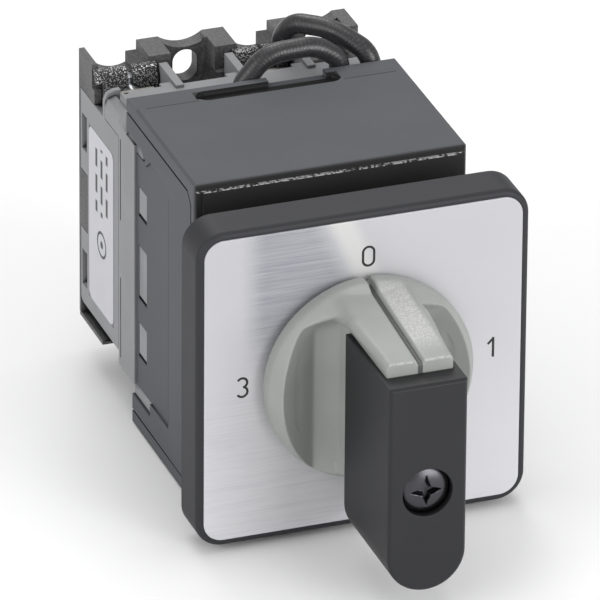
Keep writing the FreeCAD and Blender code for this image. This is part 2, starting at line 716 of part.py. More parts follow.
def make_retaining_ring():
    body = new_body("retaining_ring")
    bore = v.ring_groove + v.fit

    def outline(sk):
        circle(sk, (0, 0), v.ring_outer)
        circle(sk, (0, 0), bore)

    span(body, add, "y", ring_back() - v.ring_thick, ring_back(), outline)
    mouth = bore * 0.8
    span(body, cut, "y", ring_back() - v.ring_thick, ring_back(),
         lambda sk: rectangle(sk, (-mouth, -v.ring_outer - v.ring_gap), (mouth, -bore * 0.5)))
    return body


def around(body, feature, count):
    """Repeats a feature evenly about the shaft's axis."""
    doc.recompute()
    pattern = body.newObject("PartDesign::PolarPattern", "pattern")
    pattern.Originals = [feature]
    pattern.Axis = (origin_feature(body, "Y_Axis"), [""])
    pattern.Angle = 360
    bind(pattern, "Occurrences", count)
    body.Tip = pattern
    return pattern


def make_star_wheel():
    body = new_body("star_wheel")
    back = v.star_front + v.star_thick
    span(body, add, "y", v.star_front, back, lambda sk: circle(sk, (0, 0), v.star_radius))
    notch = span(body, cut, "y", v.star_front, back, lambda sk: circle(
        sk, (0, v.star_radius + v.star_notch_out), v.star_notch))
    around(body, notch, v.positions)
    span(body, cut, "y", v.star_front, back, lambda sk: square(sk, v.square_back / 2 + v.fit))
    return body


def make_cam(label, start, closed_at):
    """A disc whose edge drops where the contact may close; the drops lie at the angles given."""
    body = new_body(label)
    end = start + v.cam_thick
    span(body, add, "y", start, end, lambda sk: circle(sk, (0, 0), v.cam_radius))
    for degrees in closed_at:
        middle = math.radians(degrees)
        across = Vector(math.cos(middle), math.sin(middle), 0)
        out = Vector(-math.sin(middle), math.cos(middle), 0)

        def drop(sk):
            low, high = v.cam_base, v.cam_radius * 1.2
            narrow, wide = v.cam_base * 0.42, v.cam_radius * 0.72
            polygon(sk, [
                (low * out.x - narrow * across.x, low * out.y - narrow * across.y),
                (low * out.x + narrow * across.x, low * out.y + narrow * across.y),
                (high * out.x + wide * across.x, high * out.y + wide * across.y),
                (high * out.x - wide * across.x, high * out.y - wide * across.y)])

        span(body, cut, "y", start, end, drop)
    span(body, cut, "y", start, end, lambda sk: square(sk, v.square_back / 2 + v.fit))
    return body


# Latch pins and springs


def star_middle():
    return v.star_front + v.star_thick / 2


def nose_start():
    return v.star_radius + v.nose_gap


def make_latch_pin(label, side):
    """A round pin that slides along z onto the star wheel; side is +1 above it and -1 below."""
    body = new_body(label)
    tip = nose_start()
    shoulder = tip + v.pin_long
    r = v.pin_radius
    points = [
        (0, tip), (r * 0.45, tip + r * 0.1), (r * 0.85, tip + r * 0.42), (r, tip + r),
        (r, shoulder), (v.pin_stud, shoulder), (v.pin_stud, shoulder + v.pin_stud_long),
        (0, shoulder + v.pin_stud_long)]
    turned = [(x, z * side) for x, z in points]
    revolve(body, "z", turned, "y")
    bind(body, "Placement.Base.y", star_middle())
    return body


def coil(label, radius, low, high, turns, at_y):
    """A compression spring along z: a square wire on a helix between two heights."""
    wire = v.coil_wire.value
    start, end = low.value + wire, high.value - wire
    helix = Part.makeHelix((end - start) / turns, end - start, radius.value)
    inner, outer = radius.value - wire, radius.value + wire
    section = Part.makePolygon([
        Vector(inner, 0, -wire), Vector(outer, 0, -wire), Vector(outer, 0, wire),
        Vector(inner, 0, wire), Vector(inner, 0, -wire)])
    shape = Part.Wire(helix.Edges).makePipeShell([section], True, True)
    spring = doc.addObject("Part::Feature", label)
    spring.Label = label
    spring.Shape = shape
    spring.Placement = Placement(Vector(0, at_y.value, start), Rotation())
    return spring


def make_latch_springs():
    radius = v.pin_stud + v.coil_wire + v.play * 2
    low = nose_start() + v.pin_long + v.play
    high = low + v.latch_spring_long - v.play * 2
    coil("latch_spring_top", radius, low, high, 3, star_middle())
    coil("latch_spring_bottom", radius, -high, -low, 3, star_middle())


# Latch housing and hood


def make_latch_housing():
    body = new_body("latch_housing")
    half_x = v.hood_wide / 2 - v.hood_side - v.deck_gap
    half_z = v.hood_high / 2 - v.hood_top - v.deck_gap
    span(body, add, "y", v.latch_front, v.latch_end,
         lambda sk: rectangle(sk, (-half_x, -half_z), (half_x, half_z)))
    span(body, add, "y", -v.neck_reach, v.latch_front, lambda sk: circle(sk, (0, 0), v.neck))
    span(body, cut, "y", -v.neck_reach, v.latch_end,
         lambda sk: circle(sk, (0, 0), v.journal + v.play))
    span(body, cut, "y", v.star_front - v.chamber_gap, v.latch_end,
         lambda sk: circle(sk, (0, 0), v.star_radius + v.chamber_gap))
    far = nose_start() + v.pin_long + v.latch_spring_long
    bore = v.pin_radius + v.play
    for low, high in ((v.star_radius * 0.8, far), (-far, -v.star_radius * 0.8)):
        span(body, cut, "z", low, high, lambda sk: circle(sk, (0, star_middle()), bore))
    pitch = v.panel_screw_pitch / 2
    for x in (-1, 1):
        for z in (-1, 1):
            span(body, cut, "y", v.latch_front, v.latch_front + v.panel_screw_deep,
                 lambda sk: circle(sk, (x * pitch, z * pitch), v.panel_screw))
        span(body, cut, "y", v.latch_end - v.tie_bite - v.play * 4, v.latch_end,
             lambda sk: circle(sk, (x * v.tie_x, 0), v.tie_shank))
    return body


WINDOWS = [
    (v.window_a_low, v.window_a_high), (v.window_b_low, v.window_b_high),
    (v.window_c_low, v.window_c_high)]


def both_sides(half, deep):
    """The low and high x of a cut of some depth in the left side and in the right side."""
    return (-half, -half + deep), (half - deep, half)


def make_hood():
    body = new_body("hood")
    half_x, half_z = v.hood_wide / 2, v.hood_high / 2
    front, back = v.panel_space, v.hood_end
    span(body, add, "y", front, back,
         lambda sk: rectangle(sk, (-half_x, -half_z), (half_x, half_z)))
    over = v.play * 4

    def border(sk):
        wide = v.border_wide
        rectangle(sk, (-half_x - over, -half_z - over), (half_x + over, half_z + over))
        rectangle(sk, (-half_x + wide, -half_z + wide), (half_x - wide, half_z - wide))

    span(body, cut, "y", front, front + v.border_sunk, border)

    def outer_edge(e):
        at = e.CenterOfMass
        on_side = abs(abs(at.x) - half_x.value) < 1e-3 or abs(abs(at.z) - half_z.value) < 1e-3
        return on_side and (e.BoundBox.YLength > 1 or lies_in(e, y=front + v.border_sunk))

    chamfer(body, v.hood_edge, outer_edge)
    inner_x, inner_z = half_x - v.hood_side, half_z - v.hood_top
    span(body, cut, "y", v.latch_front, back,
         lambda sk: rectangle(sk, (-inner_x, -inner_z), (inner_x, inner_z)))
    span(body, cut, "y", front, v.latch_front, lambda sk: circle(sk, (0, 0), v.neck + v.neck_gap))
    pitch = v.panel_screw_pitch / 2
    for x in (-1, 1):
        for z in (-1, 1):
            span(body, cut, "y", front, v.latch_front,
                 lambda sk: circle(sk, (x * pitch, z * pitch), v.panel_screw_clear))
    cheek_end = back - v.cheek_short
    slot_start = back - v.cheek_slot_long
    beyond = back + over
    bottom_end = back - v.hood_bottom_short
    top, low = v.cheek_top, -v.cheek_bottom

    def cheek_gap(sk):
        polygon(sk, [
            (beyond, top + v.cheek_slot), (slot_start + v.cheek_slot, top + v.cheek_slot),
            (slot_start, top + v.cheek_slot * 0.45), (slot_start + v.cheek_slot * 0.8, top),
            (cheek_end, top), (cheek_end, low), (slot_start - v.cheek_slot, low),
            (slot_start - v.cheek_slot, low - v.cheek_slot), (bottom_end, low - v.cheek_slot),
            (bottom_end, -half_z - v.play), (beyond, -half_z - v.play)])

    span(body, cut, "x", -half_x - v.play, half_x + v.play, cheek_gap)
    window_end = v.window_front + v.window_long
    for a, b in WINDOWS:
        span(body, cut, "x", -half_x - v.play, half_x + v.play,
             lambda sk: rectangle(sk, (v.window_front, a), (window_end, b)))
    for low_x, high_x in both_sides(half_x, v.cheek_sunk):
        span(body, cut, "x", low_x, high_x, lambda sk: polygon(sk, [
            (v.cheek_front, low), (cheek_end, low), (cheek_end, top), (slot_start, top),
            (slot_start - v.cheek_slot, top + v.cheek_slot * 0.8),
            (v.cheek_front + v.cheek_slot * 0.7, top + v.cheek_slot * 0.8), (v.cheek_front, top)]))
    # a thin line runs round each side, a little inside its edges
    line, turn = v.line_wide, v.rim_line_front
    y, z = front + turn, half_z - v.rim_line_low
    bend = line * 0.4
    for low_x, high_x in both_sides(half_x, v.line_deep):
        span(body, cut, "x", low_x, high_x, lambda sk: polygon(sk, [
            (beyond, z), (y + turn, z), (y, z - turn), (y, turn - z), (y + turn, -z), (beyond, -z),
            (beyond, line - z), (y + turn + bend, line - z), (y + line, turn - z + bend),
            (y + line, z - turn - bend), (y + turn + bend, z - line), (beyond, z - line)]))
    span(body, cut, "z", half_z - v.strip_sunk, half_z, lambda sk: rectangle(
        sk, (-half_x, v.strip_front), (half_x, beyond)))
    span(body, cut, "z", half_z - v.grip_deep, half_z, lambda sk: round_rectangle(
        sk, (-v.grip_long / 2, v.grip_front), (v.grip_long / 2, v.grip_front + v.grip_wide),
        v.grip_wide / 2 - v.play))
    notch = v.terminal_pitch / 2
    span(body, cut, "z", half_z - v.notch_deep, half_z, lambda sk: rectangle(
        sk, (notch - v.notch_wide / 2, back - v.notch_long), (notch + v.notch_wide / 2, beyond)))
    return body


# Contact decks


def deck_start():
    return v.latch_end + v.deck_gap


def inner_half():
    return v.hood_wide / 2 - v.hood_side - v.deck_gap * 2


def leaf_back(rear):
    return v.leaf_front + v.strip_thick + (v.terminal_step if rear else 0)


def clamp_front(rear):
    return leaf_back(rear) + v.core_radius * 2 + v.play


def terminal_x(rear):
    """The two terminals of a deck: a near one and a far one, mirrored on the rear deck."""
    side = 1 if rear else -1
    return side * v.terminal_pitch / 2, -side * v.terminal_pitch * 1.5


def contact_chamber(body, rear, start):
    """The slider's guide, the contacts' chamber and the arm to the far terminal."""
    guide = v.slider_wide / 2 + v.play
    near = v.terminal_pitch / 2 + v.leaf_half + v.fit * 2
    far = foot_reach() + v.fit * 2
    low = v.strip_low - v.play
    arm = v.strip_low + v.strip_thick + v.deck_gap * 5
    end = leaf_back(rear) + v.fit
    side = 1 if rear else -1

    def outline(sk):
        points = [
            (guide, v.cam_radius * 0.8), (guide, low), (near, low), (near, v.ceiling),
            (-near, v.ceiling), (-near, arm), (-far, arm), (-far, low),
            (-guide, low), (-guide, v.cam_radius * 0.8)]
        polygon(sk, [(x * side, z) for x, z in points])

    span(body, cut, "y", start, end, outline)


def foot_reach():
    """How far out a far contact's foot goes."""
    return v.terminal_pitch * 1.5 + v.leaf_half / 2


def leaf_slots(body, rear, high):
    """The slots in which the terminal leaves stand."""
    half = v.leaf_half + v.fit
    for x in terminal_x(rear):
        span(body, cut, "z", v.strip_low - v.play, high, lambda sk: rectangle(
            sk, (x - half, leaf_back(rear) - v.strip_thick - v.fit),
            (x + half, leaf_back(rear) + v.fit)))


def clamp_pockets(body, rear, low, high):
    """The shafts that take the clamps and the wires from above."""
    half = v.clamp_half + v.fit * 3
    front = leaf_back(rear) - v.strip_thick - v.fit
    back = clamp_front(rear) + v.clamp_thick + v.fit * 4
    for x in terminal_x(rear):
        span(body, cut, "z", low, high,
             lambda sk: rectangle(sk, (x - half, front), (x + half, back)))


def driver_bores(body, rear, start, end, radius):
    for x in terminal_x(rear):
        span(body, cut, "y", start, end, lambda sk: circle(sk, (x, v.terminal_axis), radius))


def make_front_deck():
    body = new_body("front_deck")
    half_x = v.hood_wide / 2
    inner = inner_half()
    gap = v.deck_gap
    cheek_end = v.hood_end - v.cheek_short + gap
    behind = v.hood_end + gap
    slot_top = v.cheek_top + v.cheek_slot - gap
    start, end = deck_start(), v.front_deck_end
    span(body, add, "y", start, behind + gap,
         lambda sk: rectangle(sk, (-inner, -v.deck_bottom), (inner, v.deck_top)))
    span(body, add, "y", behind, end,
         lambda sk: rectangle(sk, (-half_x, -v.deck_bottom), (half_x, v.deck_top)))
    fillet(body, v.deck_corner, lambda e: lies_in(e, z=v.deck_top)
           and abs(abs(e.CenterOfMass.x) - half_x.value) < 1e-3)
    span(body, add, "y", cheek_end, behind + gap,
         lambda sk: rectangle(sk, (-half_x, -v.deck_bottom), (half_x, v.deck_top - v.deck_corner)))
    lip = half_x - v.flank_wide
    span(body, add, "y", end, v.lip_end,
         lambda sk: rectangle(sk, (-lip, v.lip_bottom), (lip, v.deck_top)))
    round_off = v.flank_wide * 0.9
    for side in (-1, 1):
        outer = side * half_x
        span(body, add, "y", end, v.flank_end, lambda sk: polygon(sk, [
            (outer, v.rear_deck_top + gap), (side * lip, v.rear_deck_top + gap),
            (side * lip, v.flank_top), (outer - side * round_off, v.flank_top),
            (outer - side * round_off * 0.3, v.flank_top - round_off * 0.3),
            (outer, v.flank_top - round_off)]))
        notch = side * (half_x - v.hook_wide)
        span(body, cut, "z", v.lip_bottom, v.deck_top, lambda sk: rectangle(
            sk, (notch - v.lip_notch / 2, v.lip_end - v.lip_notch),
            (notch + v.lip_notch / 2, v.lip_end)))
    # a line beside the rear edge, on both sides, that leaves out the middle
    seam = end - v.seam_line
    for low_x, high_x in both_sides(half_x, v.line_deep):
        for low_z, high_z in ((-v.rear_deck_top, -v.seam_high), (v.seam_high, v.rear_deck_top)):
            span(body, cut, "x", low_x, high_x, lambda sk: rectangle(
                sk, (seam - v.line_wide, low_z), (seam, high_z)))
    rib_end = v.ledge_front - gap
    for i in (-1, 0, 1):
        x = i * v.terminal_pitch
        span(body, add, "y", v.lip_end - v.fin_rib, rib_end, lambda sk: rectangle(
            sk, (x - v.fin_rib / 2, v.floor_top + gap), (x + v.fin_rib / 2, v.rib_top)))
        span(body, add, "y", v.lip_end - v.fin_rib, v.lip_end + v.rib_foot_long,
             lambda sk: rectangle(sk, (x - v.rib_foot, v.lip_bottom), (x, v.deck_top)))
    # snap tongues in the hood's windows, and the fillings of the slots beside its cheeks
    flush = half_x - v.cheek_sunk - v.fit
    window_end = v.window_front + v.window_long
    for a, b in WINDOWS:
        span(body, add, "x", -flush, flush, lambda sk: rectangle(
            sk, (v.window_front + v.deck_gap, a + v.deck_gap * 5),
            (window_end - v.deck_gap, b - v.deck_gap)))
    slot_start = v.hood_end - v.cheek_slot_long
    span(body, add, "x", -flush, flush, lambda sk: polygon(sk, [
        (slot_start + v.cheek_slot, v.cheek_top + gap), (behind, v.cheek_top + gap),
        (behind, slot_top), (slot_start + v.cheek_slot * 1.3, slot_top)]))
    foot_end = v.hood_end - v.hood_bottom_short
    span(body, add, "x", -flush, flush, lambda sk: rectangle(
        sk, (slot_start - v.cheek_slot + gap, -v.cheek_bottom - v.cheek_slot + gap),
        (foot_end, -v.cheek_bottom - gap)))
    # spigot into the latch housing, and the round cam chamber behind it
    spigot = v.star_front + v.star_thick + v.chamber_gap
    span(body, add, "y", spigot, start,
         lambda sk: circle(sk, (0, 0), v.star_radius + v.chamber_gap - v.fit))
    bore = v.square_back * 0.75
    span(body, cut, "y", spigot, end, lambda sk: circle(sk, (0, 0), bore))
    chamber = v.front_cam_start - v.chamber_gap
    span(body, cut, "y", chamber, end,
         lambda sk: circle(sk, (0, 0), v.cam_radius + v.chamber_gap))
    contact_chamber(body, False, chamber)
    leaf_slots(body, False, v.deck_top)
    clamp_pockets(body, False, v.clamp_bottom - v.deck_gap * 3, v.deck_top)
    driver_bores(body, False, leaf_back(False), v.lip_end, v.clamp_head + v.fit * 2)
    driver_bores(body, False, leaf_back(False) - v.strip_thick - v.clamp_tail - v.fit,
                 leaf_back(False), v.clamp_screw + v.fit)
    for side in (-1, 1):
        span(body, cut, "y", start, end,
             lambda sk: circle(sk, (side * v.tie_x, 0), v.tie_shank + v.fit * 2))
    return body


def make_rear_deck():
    body = new_body("rear_deck")
    half_x = v.hood_wide / 2
    start, end = v.front_deck_end + v.deck_gap, v.rear_deck_end
    span(body, add, "y", start, end,
         lambda sk: rectangle(sk, (-half_x, -v.deck_bottom), (half_x, v.rear_deck_top)))
    fillet(body, v.deck_corner, lambda e: lies_in(e, z=-v.deck_bottom)
           and abs(abs(e.CenterOfMass.x) - half_x.value) < 1e-3)
    inner = half_x - v.rear_wall
    over = v.play * 4
    # step under the front deck's lip, and the tray that takes the terminal block
    span(body, cut, "z", v.lip_bottom - v.deck_gap, v.rear_deck_top + over,
         lambda sk: rectangle(sk, (-inner, start - over), (inner, v.tray_front + over)))
    span(body, cut, "z", v.block_floor - v.deck_gap, v.rear_deck_top + over,
         lambda sk: rectangle(sk, (-inner, v.tray_front), (inner, end + over)))
    low = v.deck_bottom - v.rear_wall
    span(body, cut, "y", v.back_plate_front - v.deck_gap, end,
         lambda sk: rectangle(sk, (-inner, -low), (inner, v.block_floor)))
    ear = v.ear_half + v.deck_gap
    span(body, cut, "y", v.ear_front - v.deck_gap, end,
         lambda sk: rectangle(sk, (-half_x - over, -ear), (half_x + over, ear)))
    # spigot into the front deck's chamber
    span(body, add, "y", v.front_cam_start + v.cam_thick + v.chamber_gap, start,
         lambda sk: circle(sk, (0, 0), v.cam_radius + v.chamber_gap - v.fit))
    span(body, cut, "y", v.front_cam_start, end, lambda sk: circle(sk, (0, 0), v.square_back * 0.75))
    chamber = v.rear_cam_start - v.chamber_gap
    span(body, cut, "y", chamber, v.rear_cam_start + v.cam_thick + v.chamber_gap,
         lambda sk: circle(sk, (0, 0), v.cam_radius + v.chamber_gap))
    contact_chamber(body, True, chamber)
    leaf_slots(body, True, v.block_floor)
    clamp_pockets(body, True, v.clamp_bottom - v.deck_gap * 3, v.rear_deck_top + over)
    for side in (-1, 1):
        span(body, cut, "y", start, end,
             lambda sk: circle(sk, (side * v.tie_x, 0), v.tie_shank + v.fit * 2))
    # hooks that rise behind the front deck's flanks and turn inwards
    hook_front = v.flank_end + v.deck_gap
    foot, top = v.floor_top + v.deck_gap * 2, v.hook_top
    low, round_off = v.rear_deck_top - v.rear_wall / 2, v.hook_wide * 0.6
    for side in (-1, 1):
        outer, neck = side * half_x, side * inner
        tip = side * (half_x - v.hook_wide)
        span(body, add, "y", hook_front, hook_front + v.hook_thick, lambda sk: polygon(sk, [
            (outer, low), (neck, low), (neck, foot), (tip, foot), (tip, top),
            (outer - side * round_off, top),
            (outer - side * round_off * 0.3, top - round_off * 0.3), (outer, top - round_off)]))
    # sunk slots beside the label
    slot_front = v.ear_front + v.deck_gap * 2
    near, far = v.side_slot_near, v.side_slot_far
    for low_x, high_x in both_sides(half_x, v.rear_wall / 2):
        for low_z, high_z in ((near, far), (-far, -near)):
            span(body, cut, "x", low_x, high_x, lambda sk: rectangle(
                sk, (slot_front, low_z), (slot_front + v.side_slot_wide, high_z)))
    # shallow seat of the label on the left side
    span(body, cut, "x", -half_x, -half_x + v.label_thick / 2, lambda sk: rectangle(
        sk, (v.label_front - v.fit, v.label_low - v.fit),
        (v.label_front + v.label_long + v.fit, v.label_high + v.fit)))
    return body


# Black terminal block


def valley_arc(half, depth):
    """Radius of the arc over a chord of the given half width and depth."""
    return (half * half + depth * depth) / (2 * depth)


def make_terminal_block():
    body = new_body("terminal_block")
    half_x = v.hood_wide / 2
    inner = half_x - v.rear_wall - v.deck_gap
    front, end = v.tower_front, v.block_end
    foot = v.rear_deck_top + v.deck_gap
    span(body, add, "y", front, end,
         lambda sk: rectangle(sk, (-half_x, foot), (half_x, v.tower_top)))
    span(body, add, "y", v.ledge_front, end,
         lambda sk: rectangle(sk, (-half_x, foot), (half_x, v.valley)))
    # floor in the tray, back plate behind the rear cam, ears, flange and skirt
    span(body, add, "y", v.tray_front + v.deck_gap, end,
         lambda sk: rectangle(sk, (-inner, v.block_floor), (inner, v.floor_top)))
    low = v.deck_bottom - v.rear_wall - v.deck_gap
    span(body, add, "y", v.back_plate_front, end,
         lambda sk: rectangle(sk, (-inner, -low), (inner, v.floor_top)))
    span(body, add, "y", v.ear_front, end,
         lambda sk: rectangle(sk, (-half_x, -v.ear_half), (half_x, v.ear_half)))
    under = v.deck_bottom + v.deck_gap
    span(body, add, "y", end - v.flange_thick, end,
         lambda sk: rectangle(sk, (-half_x, -under), (half_x, foot)))
    span(body, add, "y", end - v.skirt_long, end, lambda sk: rectangle(
        sk, (v.play - half_x, -under - v.skirt_thick), (half_x - v.play, -under)))
    # open valleys over the rear terminals; the towers stand in them again, with a step each
    half_gap = v.terminal_pitch / 2 - v.tower_half
    near = terminal_x(True)[0]
    radius = valley_arc(v.valley_half, v.tower_top - v.valley)
    for edge in (near - half_gap, v.ear_tip - half_x):
        span(body, cut, "y", front, end,
             lambda sk: circle(sk, (edge + v.valley_half, v.valley + radius), radius))
    for x in (-v.terminal_pitch, v.terminal_pitch):
        span(body, add, "y", front, end, lambda sk: rectangle(
            sk, (x - v.tower_half, foot), (x + v.tower_half, v.tower_top)))
        flank = x - v.tower_half
        span(body, add, "y", front + v.tower_step, end, lambda sk: rectangle(
            sk, (flank - v.tower_step, foot), (flank + v.play, v.tower_top - v.tower_step_low)))
    # low saddles over the front terminals' screwdriver holes
    radius = valley_arc(half_gap, v.tower_top - v.saddle)
    wall = end - v.back_wall
    centre = v.block_floor + v.channel_floor + v.driver_channel
    for x in terminal_x(False):
        span(body, cut, "y", front, end, lambda sk: circle(sk, (x, v.saddle + radius), radius))
        span(body, cut, "y", v.tray_front, wall, lambda sk: circle(sk, (x, centre), v.driver_channel))
        span(body, cut, "y", v.tray_front, wall, lambda sk: rectangle(
            sk, (x - v.driver_channel, centre), (x + v.driver_channel, v.tower_top + v.play)))
        span(body, cut, "y", wall - v.play, end, lambda sk: round_rectangle(
            sk, (x - v.hole_half, v.hole_low), (x + v.hole_half, v.hole_high),
            v.hole_half - v.play))
    # what the rear terminals need: clamp pockets, room for the screws and their heads
    clamp_pockets(body, True, v.block_floor, v.tower_top + v.play)
    driver_bores(body, True, v.tray_front, leaf_back(True), v.clamp_screw + v.fit)
    driver_bores(body, True, front, end, v.slant_hole)
    head_end = clamp_front(True) + v.clamp_thick + v.clamp_head_thick
    driver_bores(body, True, clamp_front(True), head_end + v.hole_half, v.clamp_head + v.fit * 2)
    span(body, cut, "y", v.back_plate_front, end, lambda sk: circle(sk, (0, 0), v.tail + v.play))
    for side in (-1, 1):
        span(body, cut, "y", v.back_plate_front, end,
             lambda sk: circle(sk, (side * v.tie_x, 0), v.tie_shank + v.fit * 2))
        span(body, cut, "y", end - v.tie_head_thick - v.fit, end,
             lambda sk: circle(sk, (side * v.tie_x, 0), v.tie_head + v.fit * 2))
    return body


# Moving and fixed contacts


def cam_middle(rear):
    return (v.rear_cam_start if rear else v.front_cam_start) + v.cam_thick / 2


def bridge_low():
    return v.strip_low + v.strip_thick + v.contact_gap


def make_slider(label, rear):
    body = new_body(label)
    nose = v.cam_radius + v.nose_gap
    half, top = v.slider_wide / 2, bridge_low()
    y0, y1 = cam_middle(rear) - v.slider_deep / 2, cam_middle(rear) + v.slider_deep / 2
    span(body, add, "y", y0, y1, lambda sk: polygon(sk, [
        (-half * 0.35, nose), (half * 0.35, nose), (half, nose + half * 0.65), (half, top),
        (-half, top), (-half, nose + half * 0.65)]))
    span(body, add, "z", top, top + v.bridge_thick + v.slider_stud_long,
         lambda sk: circle(sk, (0, cam_middle(rear)), v.slider_stud))
    return body


def make_bridge(label, rear):
    body = new_body(label)
    half, low = v.bridge_long / 2, bridge_low()
    wide = v.slider_deep / 2
    middle = cam_middle(rear)

    def outline(sk):
        rectangle(sk, (-half, middle - wide), (half, middle + wide))
        circle(sk, (0, middle), v.slider_stud + v.fit)

    span(body, add, "z", low, low + v.bridge_thick, outline)
    return body


def make_contact_springs():
    radius = v.slider_stud + v.coil_wire + v.play * 2
    low = bridge_low() + v.bridge_thick + v.play
    high = v.ceiling - v.play
    coil("contact_spring_front", radius, low, high, 2, cam_middle(False))
    coil("contact_spring_rear", radius, low, high, 2, cam_middle(True))


def make_strip(label, rear, far):
    """A fixed contact: a flat foot under the bridge, bent up into a terminal leaf."""
    body = new_body(label)
    middle = terminal_x(rear)[1 if far else 0]
    sign = 1 if middle.value > 0 else -1
    reach = foot_reach() if far else v.terminal_pitch / 2 + v.leaf_half
    ends = (v.strip_near, reach) if sign > 0 else (-reach, -v.strip_near)
    foot, back = cam_middle(rear) - v.slider_deep / 2, leaf_back(rear)
    low, leaf_low = v.strip_low, v.strip_low + v.strip_thick / 2
    span(body, add, "z", low, low + v.strip_thick,
         lambda sk: rectangle(sk, (ends[0], foot), (ends[1], back)))
    span(body, add, "y", back - v.strip_thick, back, lambda sk: rectangle(
        sk, (middle - v.leaf_half, leaf_low), (middle + v.leaf_half, v.leaf_top)))
    span(body, cut, "y", back - v.strip_thick, back,
         lambda sk: circle(sk, (middle, v.terminal_axis), v.clamp_screw))
    return body


def make_clamp(label, rear, far):
    """A clamp plate; on the rear deck it has two lips that lean back and lead the wires in."""
    body = new_body(label)
    middle = terminal_x(rear)[1 if far else 0]
    front, thick, half = clamp_front(rear), v.clamp_thick, v.clamp_half
    back, knee = front + thick, v.clamp_top
    span(body, add, "y", front, back, lambda sk: rectangle(
        sk, (middle - half, v.clamp_bottom), (middle + half, knee)))
    if rear:
        outer = v.clamp_outer if far else size(0)
        gap = v.clamp_split / 2
        span(body, add, "x", middle - half - outer, middle + half, lambda sk: polygon(sk, [
            (front, knee), (back, knee), (back + v.clamp_lean, v.clamp_lip),
            (front + v.clamp_lean, v.clamp_lip)]))
        span(body, cut, "y", front, back + v.clamp_lean, lambda sk: rectangle(
            sk, (middle - gap, knee - thick), (middle + gap, v.clamp_lip + v.play)))
    span(body, cut, "y", front, back,
         lambda sk: circle(sk, (middle, v.terminal_axis), v.clamp_screw + v.fit))
    return body


def bolt(start, seat, head_end, shank, head, x, z):
    """A plain screw along y as one solid: the shank from start to seat, then its head."""
    stem = doc.addObject("Part::Cylinder", "stem")
    cap = doc.addObject("Part::Cylinder", "cap")
    for part, radius, low, high in ((stem, shank, start, seat), (cap, head, seat, head_end)):
        part.Placement = Placement(Vector(), Rotation(Vector(1, 0, 0), -90))
        bind(part, "Radius", radius)
        bind(part, "Height", high - low)
        bind(part, "Placement.Base.x", size(x))
        bind(part, "Placement.Base.y", low)
        bind(part, "Placement.Base.z", size(z))
    whole = doc.addObject("Part::Fuse", "bolt")
    whole.Base = stem
    whole.Tool = cap
    slot = doc.addObject("Part::Box", "slot")
    bind(slot, "Length", head * 1.6)
    bind(slot, "Height", head * 0.35)
    bind(slot, "Width", (head_end - seat) * 0.5)
    bind(slot, "Placement.Base.x", size(x) - head * 0.8)
    bind(slot, "Placement.Base.y", head_end - (head_end - seat) * 0.5)
    bind(slot, "Placement.Base.z", size(z) - head * 0.175)
    slotted = doc.addObject("Part::Cut", "slotted")
    slotted.Base = whole
    slotted.Tool = slot
    return slotted


def group(label, parts):
    whole = doc.addObject("Part::Compound", label)
    whole.Label = label
    whole.Links = parts
    return whole


def make_terminal_screws():
    screws = []
    for rear in (False, True):
        seat = clamp_front(rear) + v.clamp_thick
        for x in terminal_x(rear):
            screws.append(bolt(leaf_back(rear) - v.strip_thick - v.clamp_tail, seat,
                               seat + v.clamp_head_thick, v.clamp_screw - v.play,
                               v.clamp_head, x, v.terminal_axis))
    return group("terminal_screws", screws)


def make_tie_screws():
    seat = v.block_end - v.tie_head_thick
    return group("tie_screws", [
        bolt(v.latch_end - v.tie_bite, seat, v.block_end, v.tie_shank - v.play, v.tie_head,
             side * v.tie_x, 0) for side in (-1, 1)])


def make_label():
    body = new_body("type_label")
    left = -v.hood_wide / 2
    end = v.label_front + v.label_long
    span(body, add, "x", left - v.label_thick / 2, left + v.label_thick / 2,
         lambda sk: round_rectangle(sk, (v.label_front, v.label_low), (end, v.label_high),
                                         v.label_corner))
    return body


# Jumper wires: straight runs joined by arcs, then a bare end at each side


def rounded_path(points):
    """Edges along the points, with an arc at each inner point as large as its runs allow."""
    edges, radii = [], []
    here = points[0]
    for before, at, after in zip(points, points[1:], points[2:]):
        back, on = (before - at), (after - at)
        reach = 0.45 * min(back.Length, on.Length)
        back.normalize()
        on.normalize()
        turn = math.pi - back.getAngle(on)
        radii.append(reach / math.tan(turn / 2))
        enter, leave = at + back * reach, at + on * reach
        bow = (back + on)
        bow.normalize()
        depth = radii[-1] / math.cos(turn / 2) - radii[-1]
        edges.append(Part.LineSegment(here, enter).toShape())
        edges.append(Part.Arc(enter, at + bow * depth, leave).toShape())
        here = leave
    edges.append(Part.LineSegment(here, points[-1]).toShape())
    return Part.Wire(edges), radii


def tube(path, radius):
    start = path.Edges[0]
    aim = start.tangentAt(start.FirstParameter)
    section = Part.Wire([Part.makeCircle(radius, start.valueAt(start.FirstParameter), aim)])
    return path.makePipeShell([section], True, True)


def wire_seat(rear, far, side):
    """Where a wire stands in a clamp: x and y of its axis; side is -1 left of the screw, +1 right."""
    x = terminal_x(rear)[1 if far else 0] + side * (v.clamp_screw + v.core_radius + v.play * 2)
    y = leaf_back(rear) + v.core_radius + v.play / 2
    return x.value, y.value


# Points over the terminals, chosen along each wire: x and y beside its seats, and the height.
FRONT_ARCH = [(0.3, 0.2, 22.0), (3.4, 0.3, 25.5), (10.2, 0.3, 25.8), (13.6, 0.2, 23.4)]
REAR_ARCH = [(-0.1, -0.1, 22.8), (1.0, -1.6, 25.4), (4.8, -5.9, 25.9), (8.5, -9.3, 23.6)]


